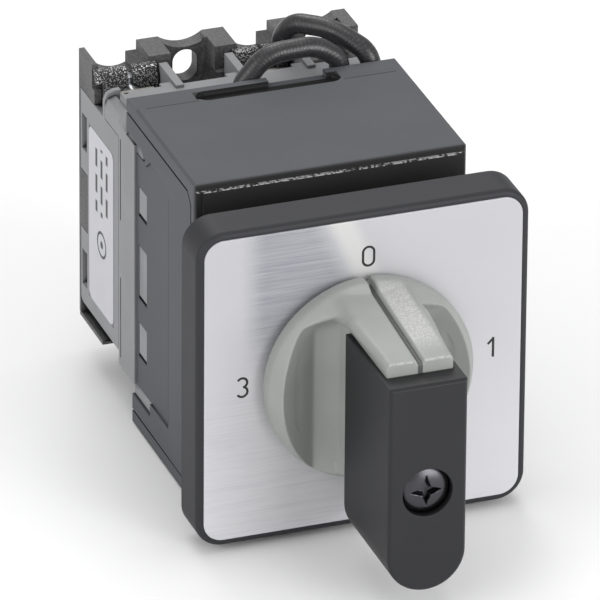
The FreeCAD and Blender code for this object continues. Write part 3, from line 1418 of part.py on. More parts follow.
def make_jumper(label, first, last, arch):
    foot, head = wire_seat(*first), wire_seat(*last)
    bare = v.clamp_bottom.value + 0.3
    sheath = v.clamp_lip.value + v.play.value
    points = [Vector(foot[0], foot[1], sheath)]
    points += [Vector(foot[0] + x, foot[1] + y, z) for x, y, z in arch]
    points.append(Vector(head[0], head[1], sheath))
    path, radii = rounded_path(points)
    sleeve = tube(path, v.wire_radius.value)
    section = math.pi * v.wire_radius.value ** 2
    print(label, "radii", [round(r, 1) for r in radii], "length", round(path.Length, 2),
          "volume", round(sleeve.Volume, 2), "of", round(section * path.Length, 2))
    shape = sleeve
    for x, y in (foot, head):
        core = Part.makeCylinder(v.core_radius.value, sheath - bare, Vector(x, y, bare))
        shape = shape.fuse(core)
    wire = doc.addObject("Part::Feature", label)
    wire.Label = label
    wire.Shape = shape
    return wire


make_front_frame()
make_dial_plate()
make_panel_seal()
make_knob()
make_lever()
make_lever_screw()
make_shaft()
make_retaining_ring()
make_star_wheel()
make_cam("cam_front", v.front_cam_start, (0, 180))
make_cam("cam_rear", v.rear_cam_start, (0, 90))
make_latch_pin("latch_pin_top", 1)
make_latch_pin("latch_pin_bottom", -1)
make_latch_springs()
make_latch_housing()
make_hood()
make_front_deck()
make_rear_deck()
make_terminal_block()
for place, is_rear in (("front", False), ("rear", True)):
    make_slider("slider_" + place, is_rear)
    make_bridge("bridge_" + place, is_rear)
    make_strip("contact_" + place + "_near", is_rear, False)
    make_strip("contact_" + place + "_far", is_rear, True)
    make_clamp("clamp_" + place + "_near", is_rear, False)
    make_clamp("clamp_" + place + "_far", is_rear, True)
make_contact_springs()
make_terminal_screws()
make_tie_screws()
make_label()
make_jumper("jumper_front", (False, False, 1), (False, True, -1), FRONT_ARCH)
make_jumper("jumper_rear", (True, False, 1), (False, True, 1), REAR_ARCH)
doc.recompute()

NODES = [
    "front_frame", "dial_plate", "panel_seal", "knob", "lever", "lever_screw", "shaft",
    "retaining_ring", "star_wheel", "cam_front", "cam_rear", "latch_pin_top",
    "latch_pin_bottom", "latch_spring_top", "latch_spring_bottom", "latch_housing", "hood",
    "front_deck", "rear_deck", "terminal_block", "slider_front", "slider_rear",
    "bridge_front", "bridge_rear", "contact_front_near", "contact_front_far",
    "contact_rear_near", "contact_rear_far", "clamp_front_near", "clamp_front_far",
    "clamp_rear_near", "clamp_rear_far", "contact_spring_front", "contact_spring_rear",
    "terminal_screws", "tie_screws", "type_label", "jumper_front", "jumper_rear",
]

for obj in doc.Objects:
    if "Invalid" in obj.State or "Error" in obj.State:
        raise RuntimeError(f"{obj.Label} of {obj.TypeId} failed: {obj.State}")

os.makedirs("parts", exist_ok=True)
for label in NODES:
    node = doc.getObjectsByLabel(label)[0]
    shape = node.Shape
    if shape.isNull() or not shape.isValid():
        raise RuntimeError(f"{label} has no valid shape")
    shape.exportStep(f"parts/{label}.step")
    box = shape.BoundBox
    print(f"{label}: {len(shape.Solids)} solids, {shape.Volume:.1f} mm3, "
          f"x {box.XMin:.2f} {box.XMax:.2f}, y {box.YMin:.2f} {box.YMax:.2f}, "
          f"z {box.ZMin:.2f} {box.ZMax:.2f}")
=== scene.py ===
# %% Load the frame
import json
import math
import bmesh
import bpy
from mathutils import Matrix, Vector


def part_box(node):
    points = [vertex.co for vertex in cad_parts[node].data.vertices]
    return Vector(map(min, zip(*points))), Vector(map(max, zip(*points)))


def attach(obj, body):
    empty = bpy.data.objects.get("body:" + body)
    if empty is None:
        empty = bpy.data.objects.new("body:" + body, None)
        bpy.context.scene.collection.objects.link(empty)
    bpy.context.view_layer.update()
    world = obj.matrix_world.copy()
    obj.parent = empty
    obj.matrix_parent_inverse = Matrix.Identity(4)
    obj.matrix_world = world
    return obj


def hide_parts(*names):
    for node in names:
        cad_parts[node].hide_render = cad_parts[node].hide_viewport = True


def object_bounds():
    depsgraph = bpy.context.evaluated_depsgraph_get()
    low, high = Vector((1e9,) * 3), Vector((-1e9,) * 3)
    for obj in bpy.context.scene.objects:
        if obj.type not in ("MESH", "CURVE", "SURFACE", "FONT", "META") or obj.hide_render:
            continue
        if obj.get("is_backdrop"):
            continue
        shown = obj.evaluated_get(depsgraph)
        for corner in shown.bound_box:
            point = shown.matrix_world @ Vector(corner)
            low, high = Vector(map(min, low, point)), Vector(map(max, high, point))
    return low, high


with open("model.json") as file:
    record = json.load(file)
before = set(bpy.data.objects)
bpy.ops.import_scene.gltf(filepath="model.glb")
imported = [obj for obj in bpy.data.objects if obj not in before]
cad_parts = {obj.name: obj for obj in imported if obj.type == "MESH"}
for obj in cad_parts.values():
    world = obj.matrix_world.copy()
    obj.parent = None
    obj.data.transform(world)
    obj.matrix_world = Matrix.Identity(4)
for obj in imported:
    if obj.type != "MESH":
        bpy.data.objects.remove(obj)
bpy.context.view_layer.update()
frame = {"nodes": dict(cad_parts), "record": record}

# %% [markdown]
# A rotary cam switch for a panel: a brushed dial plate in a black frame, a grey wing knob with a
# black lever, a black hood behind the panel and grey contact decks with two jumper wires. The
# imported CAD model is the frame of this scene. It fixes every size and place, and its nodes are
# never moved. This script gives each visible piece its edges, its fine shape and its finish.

MM = 0.001
nodes = frame["nodes"]
print("CAD nodes:", len(nodes))

# %% [markdown]
# A finish is a small graph of nodes. Written as plain sums in Python it stays readable, so one
# class wraps an output socket and turns +, -, * and / into Math nodes. A second class holds one
# material and makes every other node through a single method.


# %% Sockets with arithmetic
NOISE_MEAN = 0.5


class Signal:
    """One output socket of a finish. Arithmetic on it adds Math nodes."""

    def __init__(self, finish, socket):
        self.finish = finish
        self.socket = socket

    def math(self, operation, *others):
        return self.finish.node(
            "ShaderNodeMath", {"operation": operation}, dict(enumerate((self, *others))))

    def __add__(self, other):
        return self.math("ADD", other)

    def __radd__(self, other):
        return self.math("ADD", other)

    def __sub__(self, other):
        return self.math("SUBTRACT", other)

    def __rsub__(self, other):
        return self.finish.node(
            "ShaderNodeMath", {"operation": "SUBTRACT"}, {0: other, 1: self})

    def __mul__(self, other):
        return self.math("MULTIPLY", other)

    def __rmul__(self, other):
        return self.math("MULTIPLY", other)

    def __truediv__(self, other):
        return self.math("DIVIDE", other)

    def clamp(self):
        return self.math("MAXIMUM", 0.0).math("MINIMUM", 1.0)

    def swing(self, by):
        """Noise turned into a swing around 0 that spans about as much as by."""
        return (self - NOISE_MEAN) * by

    def rise(self, low, high):
        """0 below low, 1 above high and a soft step between them."""
        return self.finish.node(
            "ShaderNodeMapRange", {"interpolation_type": "SMOOTHSTEP"},
            {"Value": self, "From Min": low, "From Max": high})

    def fall(self, low, high):
        """1 below low, 0 above high and a soft step between them."""
        return 1.0 - self.rise(low, high)

    def band(self, centre, half, soft):
        """1 within half of centre, and 0 further out than half and soft."""
        return (self - centre).math("ABSOLUTE").fall(half, half + soft)


# %% Finishes
GAP_SHADE_FROM, GAP_SHADE_FULL = 0.30, 0.66     # share of shaded sky at which the painted shade of a seam starts and is darkest


class Finish:
    """One procedural material, with the shader that its surface ends in."""

    def __init__(self, name):
        self.material = bpy.data.materials.new(name)
        self.material.use_nodes = True
        self.tree = self.material.node_tree
        self.shader = self.tree.nodes["Principled BSDF"]

    def node(self, kind, settings=None, inputs=None, output=0):
        """A node of any type: its settings are set first, then its sockets' values or links."""
        made = self.tree.nodes.new(kind)
        for key, value in (settings or {}).items():
            setattr(made, key, value)
        for key, value in (inputs or {}).items():
            self.feed(made.inputs[key], value)
        return Signal(self, made.outputs[output])

    def feed(self, socket, value):
        if isinstance(value, Signal):
            self.tree.links.new(value.socket, socket)
        else:
            socket.default_value = value

    def set(self, **inputs):
        """Sets or links sockets of the Principled shader; a _ in a name stands for a space."""
        for key, value in inputs.items():
            self.feed(self.shader.inputs[key.replace("_", " ")], value)

    def place(self, scale=(1, 1, 1)):
        """The point on the piece, in millimetres, stretched by scale."""
        coords = self.node("ShaderNodeTexCoord", output="Object")
        stretch = tuple(s / MM for s in scale)
        return self.node("ShaderNodeMapping", {}, {"Vector": coords, "Scale": stretch})

    def axis(self, name):
        """One coordinate of the point, in millimetres."""
        return self.node("ShaderNodeSeparateXYZ", {}, {"Vector": self.place()}, output=name)

    def painted_gap_shade(self, reach):
        """A mask for painted shade: 1 deep in a seam or groove narrower than about reach
        millimetres, 0 in the open.
        """
        sky = self.node("ShaderNodeAmbientOcclusion", {"samples": 8},
                        {"Distance": reach * MM}, output="AO")
        return (1.0 - sky).rise(GAP_SHADE_FROM, GAP_SHADE_FULL)

    def noise(self, size, scale=(1, 1, 1), detail=3.0, rough=0.5):
        """Noise whose blobs measure about size millimetres."""
        return self.node("ShaderNodeTexNoise", {}, {
            "Vector": self.place(scale), "Scale": 1.0 / size, "Detail": detail,
            "Roughness": rough})

    def mix(self, factor, one, two):
        """A colour between two colours."""
        return self.node("ShaderNodeMix", {"data_type": "RGBA"},
                         {0: factor, 6: one, 7: two}, output=2)

    def bump(self, height, depth, edge=0.0):
        """A relief of the given depth in millimetres, over edges rounded to a radius of edge."""
        sockets = {"Distance": depth * MM, "Height": height}
        if edge:
            sockets["Normal"] = self.node(
                "ShaderNodeBevel", {"samples": 6}, {"Radius": edge * MM})
        self.set(Normal=self.node("ShaderNodeBump", {}, sockets))


def grey(level, tint=(1.0, 1.0, 1.0)):
    return (level * tint[0], level * tint[1], level * tint[2], 1.0)


def shade(colour, factor):
    """A colour made darker or lighter by a factor, and never lighter than white."""
    return tuple(min(c * factor, 1.0) for c in colour[:3]) + (1.0,)


# %% [markdown]
# Moulded plastic is never quite even. Its mould was spark-eroded, so the surface has a grain of
# about a tenth of a millimetre, and its gloss drifts a little over the part. Seams and grooves get
# painted shade: ambient occlusion turns their colour nearly black. One recipe serves all moulded
# pieces.


# %% Moulded plastics
GLOSS_DRIFT = 0.10        # how far roughness wanders over a part
PAINTED_SEAM_SHADE = 0.10               # painted shade: what is left of a colour at the bottom of a seam
PATCHES = (0.3, 0.7)      # noise levels of a mould's darker and lighter patches


def moulded(name, colour, rough, grain=0.12, relief=0.006, tint=0.06, blotch=7.0,
            gloss=0.30, seam_shade_reach=1.2, edge=0.10, marks=None):
    """A plastic. marks(finish) may give second colours and where they show, as wear, print,
    painted shade or painted highlights.
    """
    finish = Finish(name)
    patches = finish.noise(blotch, detail=4.0)
    fine = finish.noise(grain, detail=2.0, rough=0.6)
    shown = finish.mix(patches.rise(*PATCHES), shade(colour, 1.0 - tint),
                       shade(colour, 1.0 + tint))
    if marks:
        for second, where in marks(finish):
            shown = finish.mix(where, shown, second)
    # painted shade: the colour goes nearly black in seams and grooves, through ambient occlusion
    if seam_shade_reach:
        shown = finish.mix(finish.painted_gap_shade(seam_shade_reach), shown, shade(colour, PAINTED_SEAM_SHADE))
    drift = patches.swing(GLOSS_DRIFT) + fine.swing(GLOSS_DRIFT)
    finish.set(Base_Color=shown, Specular_IOR_Level=gloss, Roughness=drift + rough)
    finish.bump(fine, relief, edge)
    return finish


# %% [markdown]
# Some marks sit at a known place on a piece: wear where two faces meet, a seam, painted shade or
# a painted highlight. Each is a band on one or more axes, measured from the box of the piece's own
# CAD node, so it follows the piece when a size changes.


# %% Wear along an edge
WORN_REACH = 0.30         # how far the wear runs from the edge
WORN_SPOT, WORN_LEVELS = 0.30, (0.50, 0.60)  # size of a worn spot, noise at its rim and middle
WORN_GREY = grey(0.30)
ALONG_X = (1, 2, 2)       # scale that makes spots twice as long along x


def in_mm(corners):
    return [[c / MM for c in corner] for corner in corners]


def worn_edge(top, front):
    """Pale flecks where a piece's top and front faces meet, at z = top and y = front."""
    corner = top - front

    def marks(finish):
        near = (finish.axis("Z") - finish.axis("Y")).rise(corner - WORN_REACH, corner)
        spots = finish.noise(WORN_SPOT, scale=ALONG_X).rise(*WORN_LEVELS)
        return [(WORN_GREY, near * spots)]
    return marks


# %% Marks of the hood
hood_low, hood_high = in_mm(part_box("hood"))
FRONT_DEPTH = (0.40, 0.50)     # y behind the hood's front at which the painted shade on its front face ends
RIM_DROP, RIM_HALF, RIM_SOFT = 1.12, 0.06, 0.10   # the painted highlight line below the front's upper edge
LINE_SPOT, LINE_LEVELS = 0.35, (0.44, 0.56)  # pieces that the line is broken into
SLOT_HALF, SLOT_SOFT = (9.95, 1.65), 0.02    # the round-ended slot in the hood's top
SLOT_DEEP, SLOT_DEEP_HALF, SLOT_DEEP_SOFT = 1.1, 0.85, 0.05   # its inside, painted black as shade, below the top
SLOT_TO_END = 2.8         # from the slot's middle to the hood's rear end
CHEEK_AFTER = 10.5        # from the hood's front to the seam in front of its sunk cheeks
CHEEK_SKIN = (0.6, 0.4)   # depths below the side faces between which that seam starts to show
CHEEK_LOW, CHEEK_HIGH, CHEEK_SOFT, CHEEK_HALF = -17.0, 16.7, 0.1, 0.10
SEAM_TO_END = 4.1         # from the fine seam across the hood's top to its rear end
SEAM_MIDDLE, SEAM_HALF = 13.6, 3.6           # where that seam runs, left and right of the slot
SEAM_THIN, SEAM_SOFT = 0.05, 0.08            # half of its width, and how softly a seam ends
TOP_SKIN = (0.2, 0.1)     # depths below the top between which it starts to show


def hood_marks(finish):
    """Painted shade on the front face and in the slot, a broken painted highlight line, and the
    fine seams.
    """
    x, y, z = (finish.axis(name) for name in "XYZ")
    sideways = x.math("ABSOLUTE")
    # painted shade: the front face, which lies in the frame's shadow, is painted nearly black
    front = y.fall(hood_low[1] + FRONT_DEPTH[0], hood_low[1] + FRONT_DEPTH[1])
    # painted highlight: a broken bright line across the front face below its upper edge
    painted_highlight_line = z.band(hood_high[2] - RIM_DROP, RIM_HALF, RIM_SOFT) * front
    broken = finish.noise(LINE_SPOT, scale=(0.8, 1, 1)).rise(*LINE_LEVELS)
    # painted shade: the inside of the slot is painted black
    slot = (x.band(0.0, SLOT_HALF[0], SLOT_SOFT)
            * z.band(hood_high[2] - SLOT_DEEP, SLOT_DEEP_HALF, SLOT_DEEP_SOFT)
            * y.band(hood_high[1] - SLOT_TO_END, SLOT_HALF[1], SLOT_SOFT))
    cheek_seam = (y.band(hood_low[1] + CHEEK_AFTER, CHEEK_HALF, SEAM_SOFT)
                  * sideways.rise(hood_high[0] - CHEEK_SKIN[0], hood_high[0] - CHEEK_SKIN[1])
                  * z.rise(CHEEK_LOW, CHEEK_LOW + CHEEK_SOFT)
                  * z.fall(CHEEK_HIGH - CHEEK_SOFT, CHEEK_HIGH))
    top_seam = (y.band(hood_high[1] - SEAM_TO_END, SEAM_THIN, SEAM_SOFT)
                * sideways.band(SEAM_MIDDLE, SEAM_HALF, SEAM_THIN)
                * z.rise(hood_high[2] - TOP_SKIN[0], hood_high[2] - TOP_SKIN[1]))
    # painted shade in the slot, together with the dark seams
    dark = slot.math("MAXIMUM", cheek_seam.math("MAXIMUM", top_seam))
    return [(grey(0.016), front), (grey(0.42), painted_highlight_line * broken), (grey(0.006), dark)]


# %% Marks of the knob
knob_low, knob_high = in_mm(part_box("knob"))
lever_low, lever_high = in_mm(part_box("lever"))
FIN_TOP = 11.6                 # upper edge of the fin's front face, above the axis
FIN_WEAR = 0.35                # how far the wear runs from that edge
GROOVE_EDGE = 0.55             # half of the pointer groove with its soft edges
GROOVE_HALF, GROOVE_SOFT = 0.26, 0.16        # half of the groove's floor that is painted dark as shade
GROOVE_ABOVE = (9.0, 9.5)      # heights over which the groove starts to show
GROOVE_END = (-8.0, -7.5)      # y over which it ends at the disc
HIGHLIGHT_SIDE = (3.6, 4.4)       # x over which the painted highlight ends at the fin's side
HIGHLIGHT_BACK = (-12.0, -8.0)    # y over which it fades towards the disc
HIGHLIGHT_FRONT = (-26.0, -21.0)  # y over which it fades towards the fin's front
HIGHLIGHT_ABOVE = (9.0, 10.5)     # heights over which it starts on the fin's top
HIGHLIGHT_GROOVE = (GROOVE_EDGE, GROOVE_EDGE + 0.3)   # x over which it starts at the groove
SPECKLE, SPECKLE_LEVELS = 0.20, (0.40, 0.66)       # the painted highlight's speckles
SPECKLE_LEAST = 0.3            # how much of the painted highlight shows between speckles
FLECK, FLECK_LEVELS = 0.35, (0.42, 0.55)           # the flecks of the worn front edge


def knob_marks(finish):
    """The fin's speckled painted highlight right of the groove, its worn front edge and painted
    groove shade.
    """
    x, y, z = (finish.axis(name) for name in "XYZ")
    # painted highlight: the fin's top right of the groove is painted paler, in speckles
    half = x.rise(*HIGHLIGHT_GROOVE) * x.fall(*HIGHLIGHT_SIDE)
    run = y.fall(*HIGHLIGHT_BACK) * y.rise(*HIGHLIGHT_FRONT) * z.rise(*HIGHLIGHT_ABOVE)
    speckles = finish.noise(SPECKLE, detail=1.0).rise(*SPECKLE_LEVELS)
    speckled_highlight = speckles * (1.0 - SPECKLE_LEAST) + SPECKLE_LEAST
    worn = (z - y).rise(FIN_TOP - knob_low[1] - FIN_WEAR, FIN_TOP - knob_low[1])
    flecks = worn * finish.noise(FLECK, scale=ALONG_X).rise(*FLECK_LEVELS)
    # painted shade: the groove's floor is painted dark
    groove_shade = x.band(0.0, GROOVE_HALF, GROOVE_SOFT) * z.rise(*GROOVE_ABOVE) * y.fall(*GROOVE_END)
    return [((0.50, 0.50, 0.48, 1.0), half * run * speckled_highlight), (grey(0.46), flecks),
            (grey(0.08), groove_shade)]


# %% [markdown]
# The blacks of this switch are cool dark greys, and the hood is the lightest of them because its
# surface is matt. The knob and the decks are greys of their own. The terminal block is a filled
# plastic with a coarse grain, so its patches are as small as its grain.

# %% Colours of the plastics
finishes = {
    "black_housing": moulded("housing plastic", grey(0.066, (0.97, 1.0, 1.10)), 0.55),
    "black_frame": moulded("frame plastic", grey(0.021, (0.98, 1.0, 1.16)), 0.55),
    "black_lever": moulded("lever plastic", grey(0.015, (0.98, 1.0, 1.12)), 0.50, grain=0.08,
                           relief=0.003, marks=worn_edge(lever_high[2], lever_low[1])),
    "grey_knob": moulded("knob plastic", (0.285, 0.294, 0.281, 1.0), 0.42, grain=0.16,
                         relief=0.008, tint=0.04, seam_shade_reach=0.3, marks=knob_marks, gloss=0.35),
    "grey_deck": moulded("deck plastic", (0.225, 0.227, 0.235, 1.0), 0.50),
    "rubber_seal": moulded("seal rubber", grey(0.020), 0.75, grain=0.3, relief=0.01, edge=0.0),
    "cam_plastic": moulded("cam plastic", (0.62, 0.60, 0.54, 1.0), 0.35, seam_shade_reach=0.0, edge=0.0),
    "hood": moulded("hood plastic", grey(0.070, (0.97, 1.0, 1.11)), 0.58, relief=0.004,
                    marks=hood_marks),
    "terminal_block": moulded("block plastic", grey(0.085, (1.0, 1.0, 1.03)), 0.48, grain=0.25,
                              relief=0.03, tint=0.30, blotch=0.35),
}

# %% [markdown]
# The dial plate is aluminium that was brushed from left to right. Brushing is a noise stretched
# up to sixty times along one axis, in two widths. It goes into the colour, the roughness and a
# very shallow relief. The plate's reflections are painted into its colour: a painted dark
# reflection field at the upper left that a painted warm, pale sheen along a diagonal ends. Painted
# light also makes the plate paler towards the bottom.


# %% Brushed dial plate
HAIR, HAIR_STRETCH = 0.13, 0.016        # width of the fine brushing, and its scale along x
BROAD, BROAD_STRETCH = 0.55, 0.030      # the same for the coarse brushing
SLANT = 0.435                           # what the diagonal moves to the left per mm of height
FIELD_LEFT, FIELD_RIGHT = (-17.0, -13.0), (1.5, 5.8)   # where the painted dark reflection field starts and ends
FIELD_ABOVE = (0.0, 9.0)                # heights over which it comes up
CORNER_RIGHT, CORNER_TOP = (-14.0, -4.0), (-6.0, 2.0)  # where the streaked lower corner ends
SHEEN_AT, SHEEN_HALF, SHEEN_SOFT = 6.3, 0.5, 2.2       # the painted warm sheen along the diagonal
SHEEN_ABOVE, SHEEN_SHARE = (9.0, 15.0), 0.45
FIELD_SHADE, FIELD_HAIR, FIELD_BROAD = 0.66, 1.1, 0.5  # its depth and what each brushing adds
CORNER_FROM, CORNER_HAIR, OVERALL_HAIR = 0.45, 0.9, 0.16   # the same in the corner and all over
PLATE_EDGE = 22.0                       # height of the plate's edges above and below the axis
# Painted light: the plate's colour is paler at the bottom than at the top. Then come the colours
# of the painted dark reflection and of the painted sheen.
PLATE_LOW, PLATE_HIGH = (0.585, 0.583, 0.605, 1.0), (0.435, 0.433, 0.452, 1.0)
PAINTED_REFLECTION_DARK, PAINTED_SHEEN_COLOUR = (0.215, 0.220, 0.250, 1.0), (0.62, 0.62, 0.59, 1.0)


def brushed_plate():
    """Aluminium brushed along x, with a painted dark reflection, a streaked corner and a painted
    sheen.
    """
    finish = Finish("brushed dial plate")
    hair = finish.noise(HAIR, scale=(HAIR_STRETCH, 1, 1), detail=4.0, rough=0.7)
    broad = finish.noise(BROAD, scale=(BROAD_STRETCH, 1, 1), detail=3.0)
    x, z = finish.axis("X"), finish.axis("Z")
    across = x + z * SLANT
    # painted reflection: a darker streaked field at the upper left
    painted_reflection_field = x.rise(*FIELD_LEFT) * across.fall(*FIELD_RIGHT) * z.rise(*FIELD_ABOVE)
    corner = across.fall(*CORNER_RIGHT) * z.fall(*CORNER_TOP)
    streaks = hair.swing(FIELD_HAIR) + broad.swing(FIELD_BROAD)
    dark = (painted_reflection_field * (streaks + FIELD_SHADE) + corner * (hair - CORNER_FROM) * CORNER_HAIR
            + hair.swing(OVERALL_HAIR))
    # painted light: the plate's colour goes paler towards the bottom
    painted_light_tone = finish.mix(z.rise(-PLATE_EDGE, PLATE_EDGE), PLATE_LOW, PLATE_HIGH)
    tone = finish.mix(dark.clamp(), painted_light_tone, PAINTED_REFLECTION_DARK)
    # painted sheen: a warm pale band along the diagonal
    painted_sheen = across.band(SHEEN_AT, SHEEN_HALF, SHEEN_SOFT) * z.rise(*SHEEN_ABOVE) * SHEEN_SHARE
    finish.set(Base_Color=finish.mix(painted_sheen, tone, PAINTED_SHEEN_COLOUR), Metallic=0.15,
               Roughness=hair.swing(0.2) + 0.46)
    finish.bump(hair, 0.004, 0.12)
    return finish


finishes["dial_plate"] = brushed_plate()

# %% [markdown]
# Small metal pieces: the lever's screw is blackened steel and the terminal screws are zinc plated.
# The clamps have a coarse knurled and tinned grip, which the photograph shows as grains of bright
# metal on black, so their grain is a real relief as well as a colour.


# %% Metals
TARNISH, TARNISH_SIZE = 0.15, 1.6       # how much darker tarnished patches are, and how large
RUBBED = 0.2                            # how far a metal's roughness swings


def metal(name, colour, rough, grain, relief):
    """Bare or plated metal with tarnished patches and a fine grain."""
    finish = Finish(name)
    fine = finish.noise(grain, detail=3.0, rough=0.6)
    patches = finish.noise(TARNISH_SIZE, detail=2.0)
    finish.set(Base_Color=finish.mix(patches, colour, shade(colour, 1.0 - TARNISH)),
               Metallic=1.0, Roughness=fine.swing(RUBBED) + rough)
    finish.bump(fine, relief, 0.08)
    return finish


GRAIN, GRAIN_LEVELS = 0.19, (0.51, 0.60)     # size of a tinned grain, noise at its foot and top


def knurled(name):
    """Bright tinned grains on a black ground."""
    finish = Finish(name)
    grains = finish.noise(GRAIN, detail=1.5, rough=0.6).rise(*GRAIN_LEVELS)
    finish.set(Base_Color=finish.mix(grains, grey(0.012), (0.46, 0.46, 0.47, 1.0)),
               Metallic=grains * 0.6, Roughness=0.6 - grains * 0.25)
    finish.bump(grains, 0.06)
    return finish


finishes["dark_steel"] = metal("blackened steel", (0.075, 0.075, 0.082, 1.0), 0.30, 0.15, 0.006)
finishes["steel"] = metal("zinc plated steel", (0.50, 0.51, 0.53, 1.0), 0.30, 0.20, 0.006)
finishes["contact_metal"] = metal("silvered brass", (0.30, 0.29, 0.26, 1.0), 0.40, 0.2, 0.005)
finishes["clamp"] = knurled("knurled clamp")

# %% [markdown]
# The label is white film with its print kept to plain fields: three rows of dashes and a ring.
# Distances on it are measured from its front edge and down from its top, as one would read it.


# %% Label film and its print
ROWS, ROW_HALF, ROW_SHIFT = (2.6, 4.7, 6.8), 0.36, 0.9  # rows, half a dash's width, their stagger
DASH = 3.8                              # from one dash to the next
DASH_MIDDLE, DASH_HALF = 0.38, 0.33     # shares of that length
PRINT_MIDDLE, PRINT_HALF = 6.4, 4.9     # where the rows start and stop
RING_AT, RING_RADIUS, RING_HALF, DOT = (4.7, 15.4), 1.7, 0.16, 0.5
PRINT_SOFT = 0.08                       # how softly printed fields end
FILM_DARK, FILM_PALE = (0.45, 0.45, 0.49, 1.0), (0.52, 0.52, 0.55, 1.0)


def film():
    """White film with three rows of dashes and a ring with a dot."""
    finish = Finish("label film")
    label_low, label_high = in_mm(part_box("type_label"))
    y, z = finish.axis("Y") - label_low[1], label_high[2] - finish.axis("Z")
    inside = z.band(PRINT_MIDDLE, PRINT_HALF, 0.1)
    printed = 0.0
    for row, reach in enumerate(ROWS):
        place = ((z + row * ROW_SHIFT) / DASH).math("FRACT")
        dash = place.band(DASH_MIDDLE, DASH_HALF, 0.03)
        printed = y.band(reach, ROW_HALF, PRINT_SOFT) * dash * inside + printed
    aside, below = y - RING_AT[0], z - RING_AT[1]
    centre = (aside * aside + below * below).math("SQRT")
    printed = printed + centre.band(RING_RADIUS, RING_HALF, PRINT_SOFT)
    printed = printed + centre.band(0.0, DOT, PRINT_SOFT)
    cloud = finish.noise(3.0)
    white = finish.mix(cloud, FILM_DARK, FILM_PALE)
    finish.set(Base_Color=finish.mix(printed.clamp(), white, grey(0.035)),
               Roughness=cloud.swing(0.1) + 0.45, Specular_IOR_Level=0.3)
    finish.bump(finish.noise(0.4), 0.002)
    return finish


# %% [markdown]
# The wires' black sleeves are ribbed across, so their highlights break into flecks, and these
# flecks are also painted paler into the colour as painted glints. The ribs are rings about a
# wire's
# own arch: the angle around the arch's centre gives the place along it.


# %% Ribbed wires
RIB_PITCH = 0.62
ARCH_DROP = 6.2           # from a wire's highest point down to the centre of its arch
SPAN_TO_RADIUS = 2.2      # what a wire's span measures in radii of its arch
# GLINT is the colour of a painted highlight on the ribs
SLEEVE, GLINT = grey(0.018, (1.0, 1.0, 1.12)), grey(0.08)
GRIT, GRIT_LEVELS = 0.35, (0.46, 0.62)       # what breaks the light on the ribs into glints


def ribbed_wire(node):
    """A black sleeve with fine ribs across it and painted glints on them, for one wire."""
    finish = Finish(node + " sleeve")
    low, high = in_mm(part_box(node))
    run = Vector((high[0] - low[0], low[1] - high[1], 0.0))
    span = run.length
    run.normalize()
    middle = ((low[0] + high[0]) / 2, (low[1] + high[1]) / 2)
    along = (finish.axis("X") - middle[0]) * run.x + (finish.axis("Y") - middle[1]) * run.y
    height = finish.axis("Z") - (high[2] - ARCH_DROP)
    ribs = round(math.pi * span / SPAN_TO_RADIUS / RIB_PITCH)
    ridge = (height.math("ARCTAN2", along) * (2.0 * ribs)).math("SINE")
    glint = ridge.rise(0.0, 0.9) * finish.noise(GRIT, detail=2.0).rise(*GRIT_LEVELS)
    # painted highlight: the glints on the ribs are paler in the base colour as well as glossier
    finish.set(Base_Color=finish.mix(glint * 0.5, SLEEVE, GLINT),
               Roughness=0.36 - glint * 0.16, Specular_IOR_Level=0.5)
    finish.bump(ridge * 0.3 + finish.noise(0.5) * 0.8, 0.012)
    return finish


finishes["white_label"] = film()
finishes["dial_print"] = moulded("dial print", grey(0.018), 0.5, grain=0.2, relief=0.001,
                                 seam_shade_reach=0.0, edge=0.0)
for node in ("jumper_front", "jumper_rear"):
    finishes[node] = ribbed_wire(node)
print("finishes:", sorted(finishes))

# %% [markdown]
# The CAD's nodes are loose triangles with hard edges, made for measuring. A visible piece starts
# from a merged copy of its node, so it keeps its true size, and flat facets are dissolved into
# whole faces. Rounded edges catch the light. Most pieces get theirs in the finish, through its
# Bevel node, and two front pieces with long crisp edges get real ones. Weighted normals keep
# the large faces flat between rounded edges, where plain smooth shading would smear them.


# %% Dressed copies of CAD nodes
WELD = 0.002                   # points nearer than this are one
FLAT = 0.5                     # degrees up to which facets are one flat face
EDGE_ANGLE, EDGE_STEPS = 40.0, 2
EDGE_WIDTH = {"lever": 0.10, "dial_plate": 0.10}
body_of_node = {name: body for body, members in frame["record"]["behaviour"]["bodies"].items()
                for name in members}
slot_of_node = {s["node"]: s["material_slot"] for s in frame["record"]["subparts"]}


def finish_of(node):
    """A finish of the node's own where it has one, and its material slot's otherwise."""
    if node.startswith("clamp"):
        return "clamp"
    return node if node in finishes else slot_of_node[node]


def add_piece(name, mesh, body, finish, smooth=35.0):
    """A new piece from a finished bmesh, shaded smooth up to an angle, riding on a body."""
    data = bpy.data.meshes.new(name)
    mesh.to_mesh(data)
    mesh.free()
    data.shade_smooth()
    data.set_sharp_from_angle(angle=math.radians(smooth))
    piece = bpy.data.objects.new(name, data)
    bpy.context.scene.collection.objects.link(piece)
    piece.data.materials.append(finishes[finish].material)
    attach(piece, body)
    return piece


def merged(node):
    """A bmesh of a CAD node with its loose triangles merged into whole faces."""
    mesh = bmesh.new()
    mesh.from_mesh(nodes[node].data)
    bmesh.ops.remove_doubles(mesh, verts=mesh.verts, dist=WELD * MM)
    bmesh.ops.dissolve_limit(mesh, angle_limit=math.radians(FLAT), verts=mesh.verts,
                             edges=mesh.edges, delimit={"NORMAL"})
    return mesh


def round_edges(mesh, width):
    """Gives the sharp edges a real rounding."""
    sharp = [e for e in mesh.edges if len(e.link_faces) == 2
             and e.calc_face_angle(0) > math.radians(EDGE_ANGLE)]
    bmesh.ops.bevel(mesh, geom=sharp, offset=width * MM, offset_type="OFFSET", affect="EDGES",
                    segments=EDGE_STEPS, profile=0.5, material=-1, clamp_overlap=True)


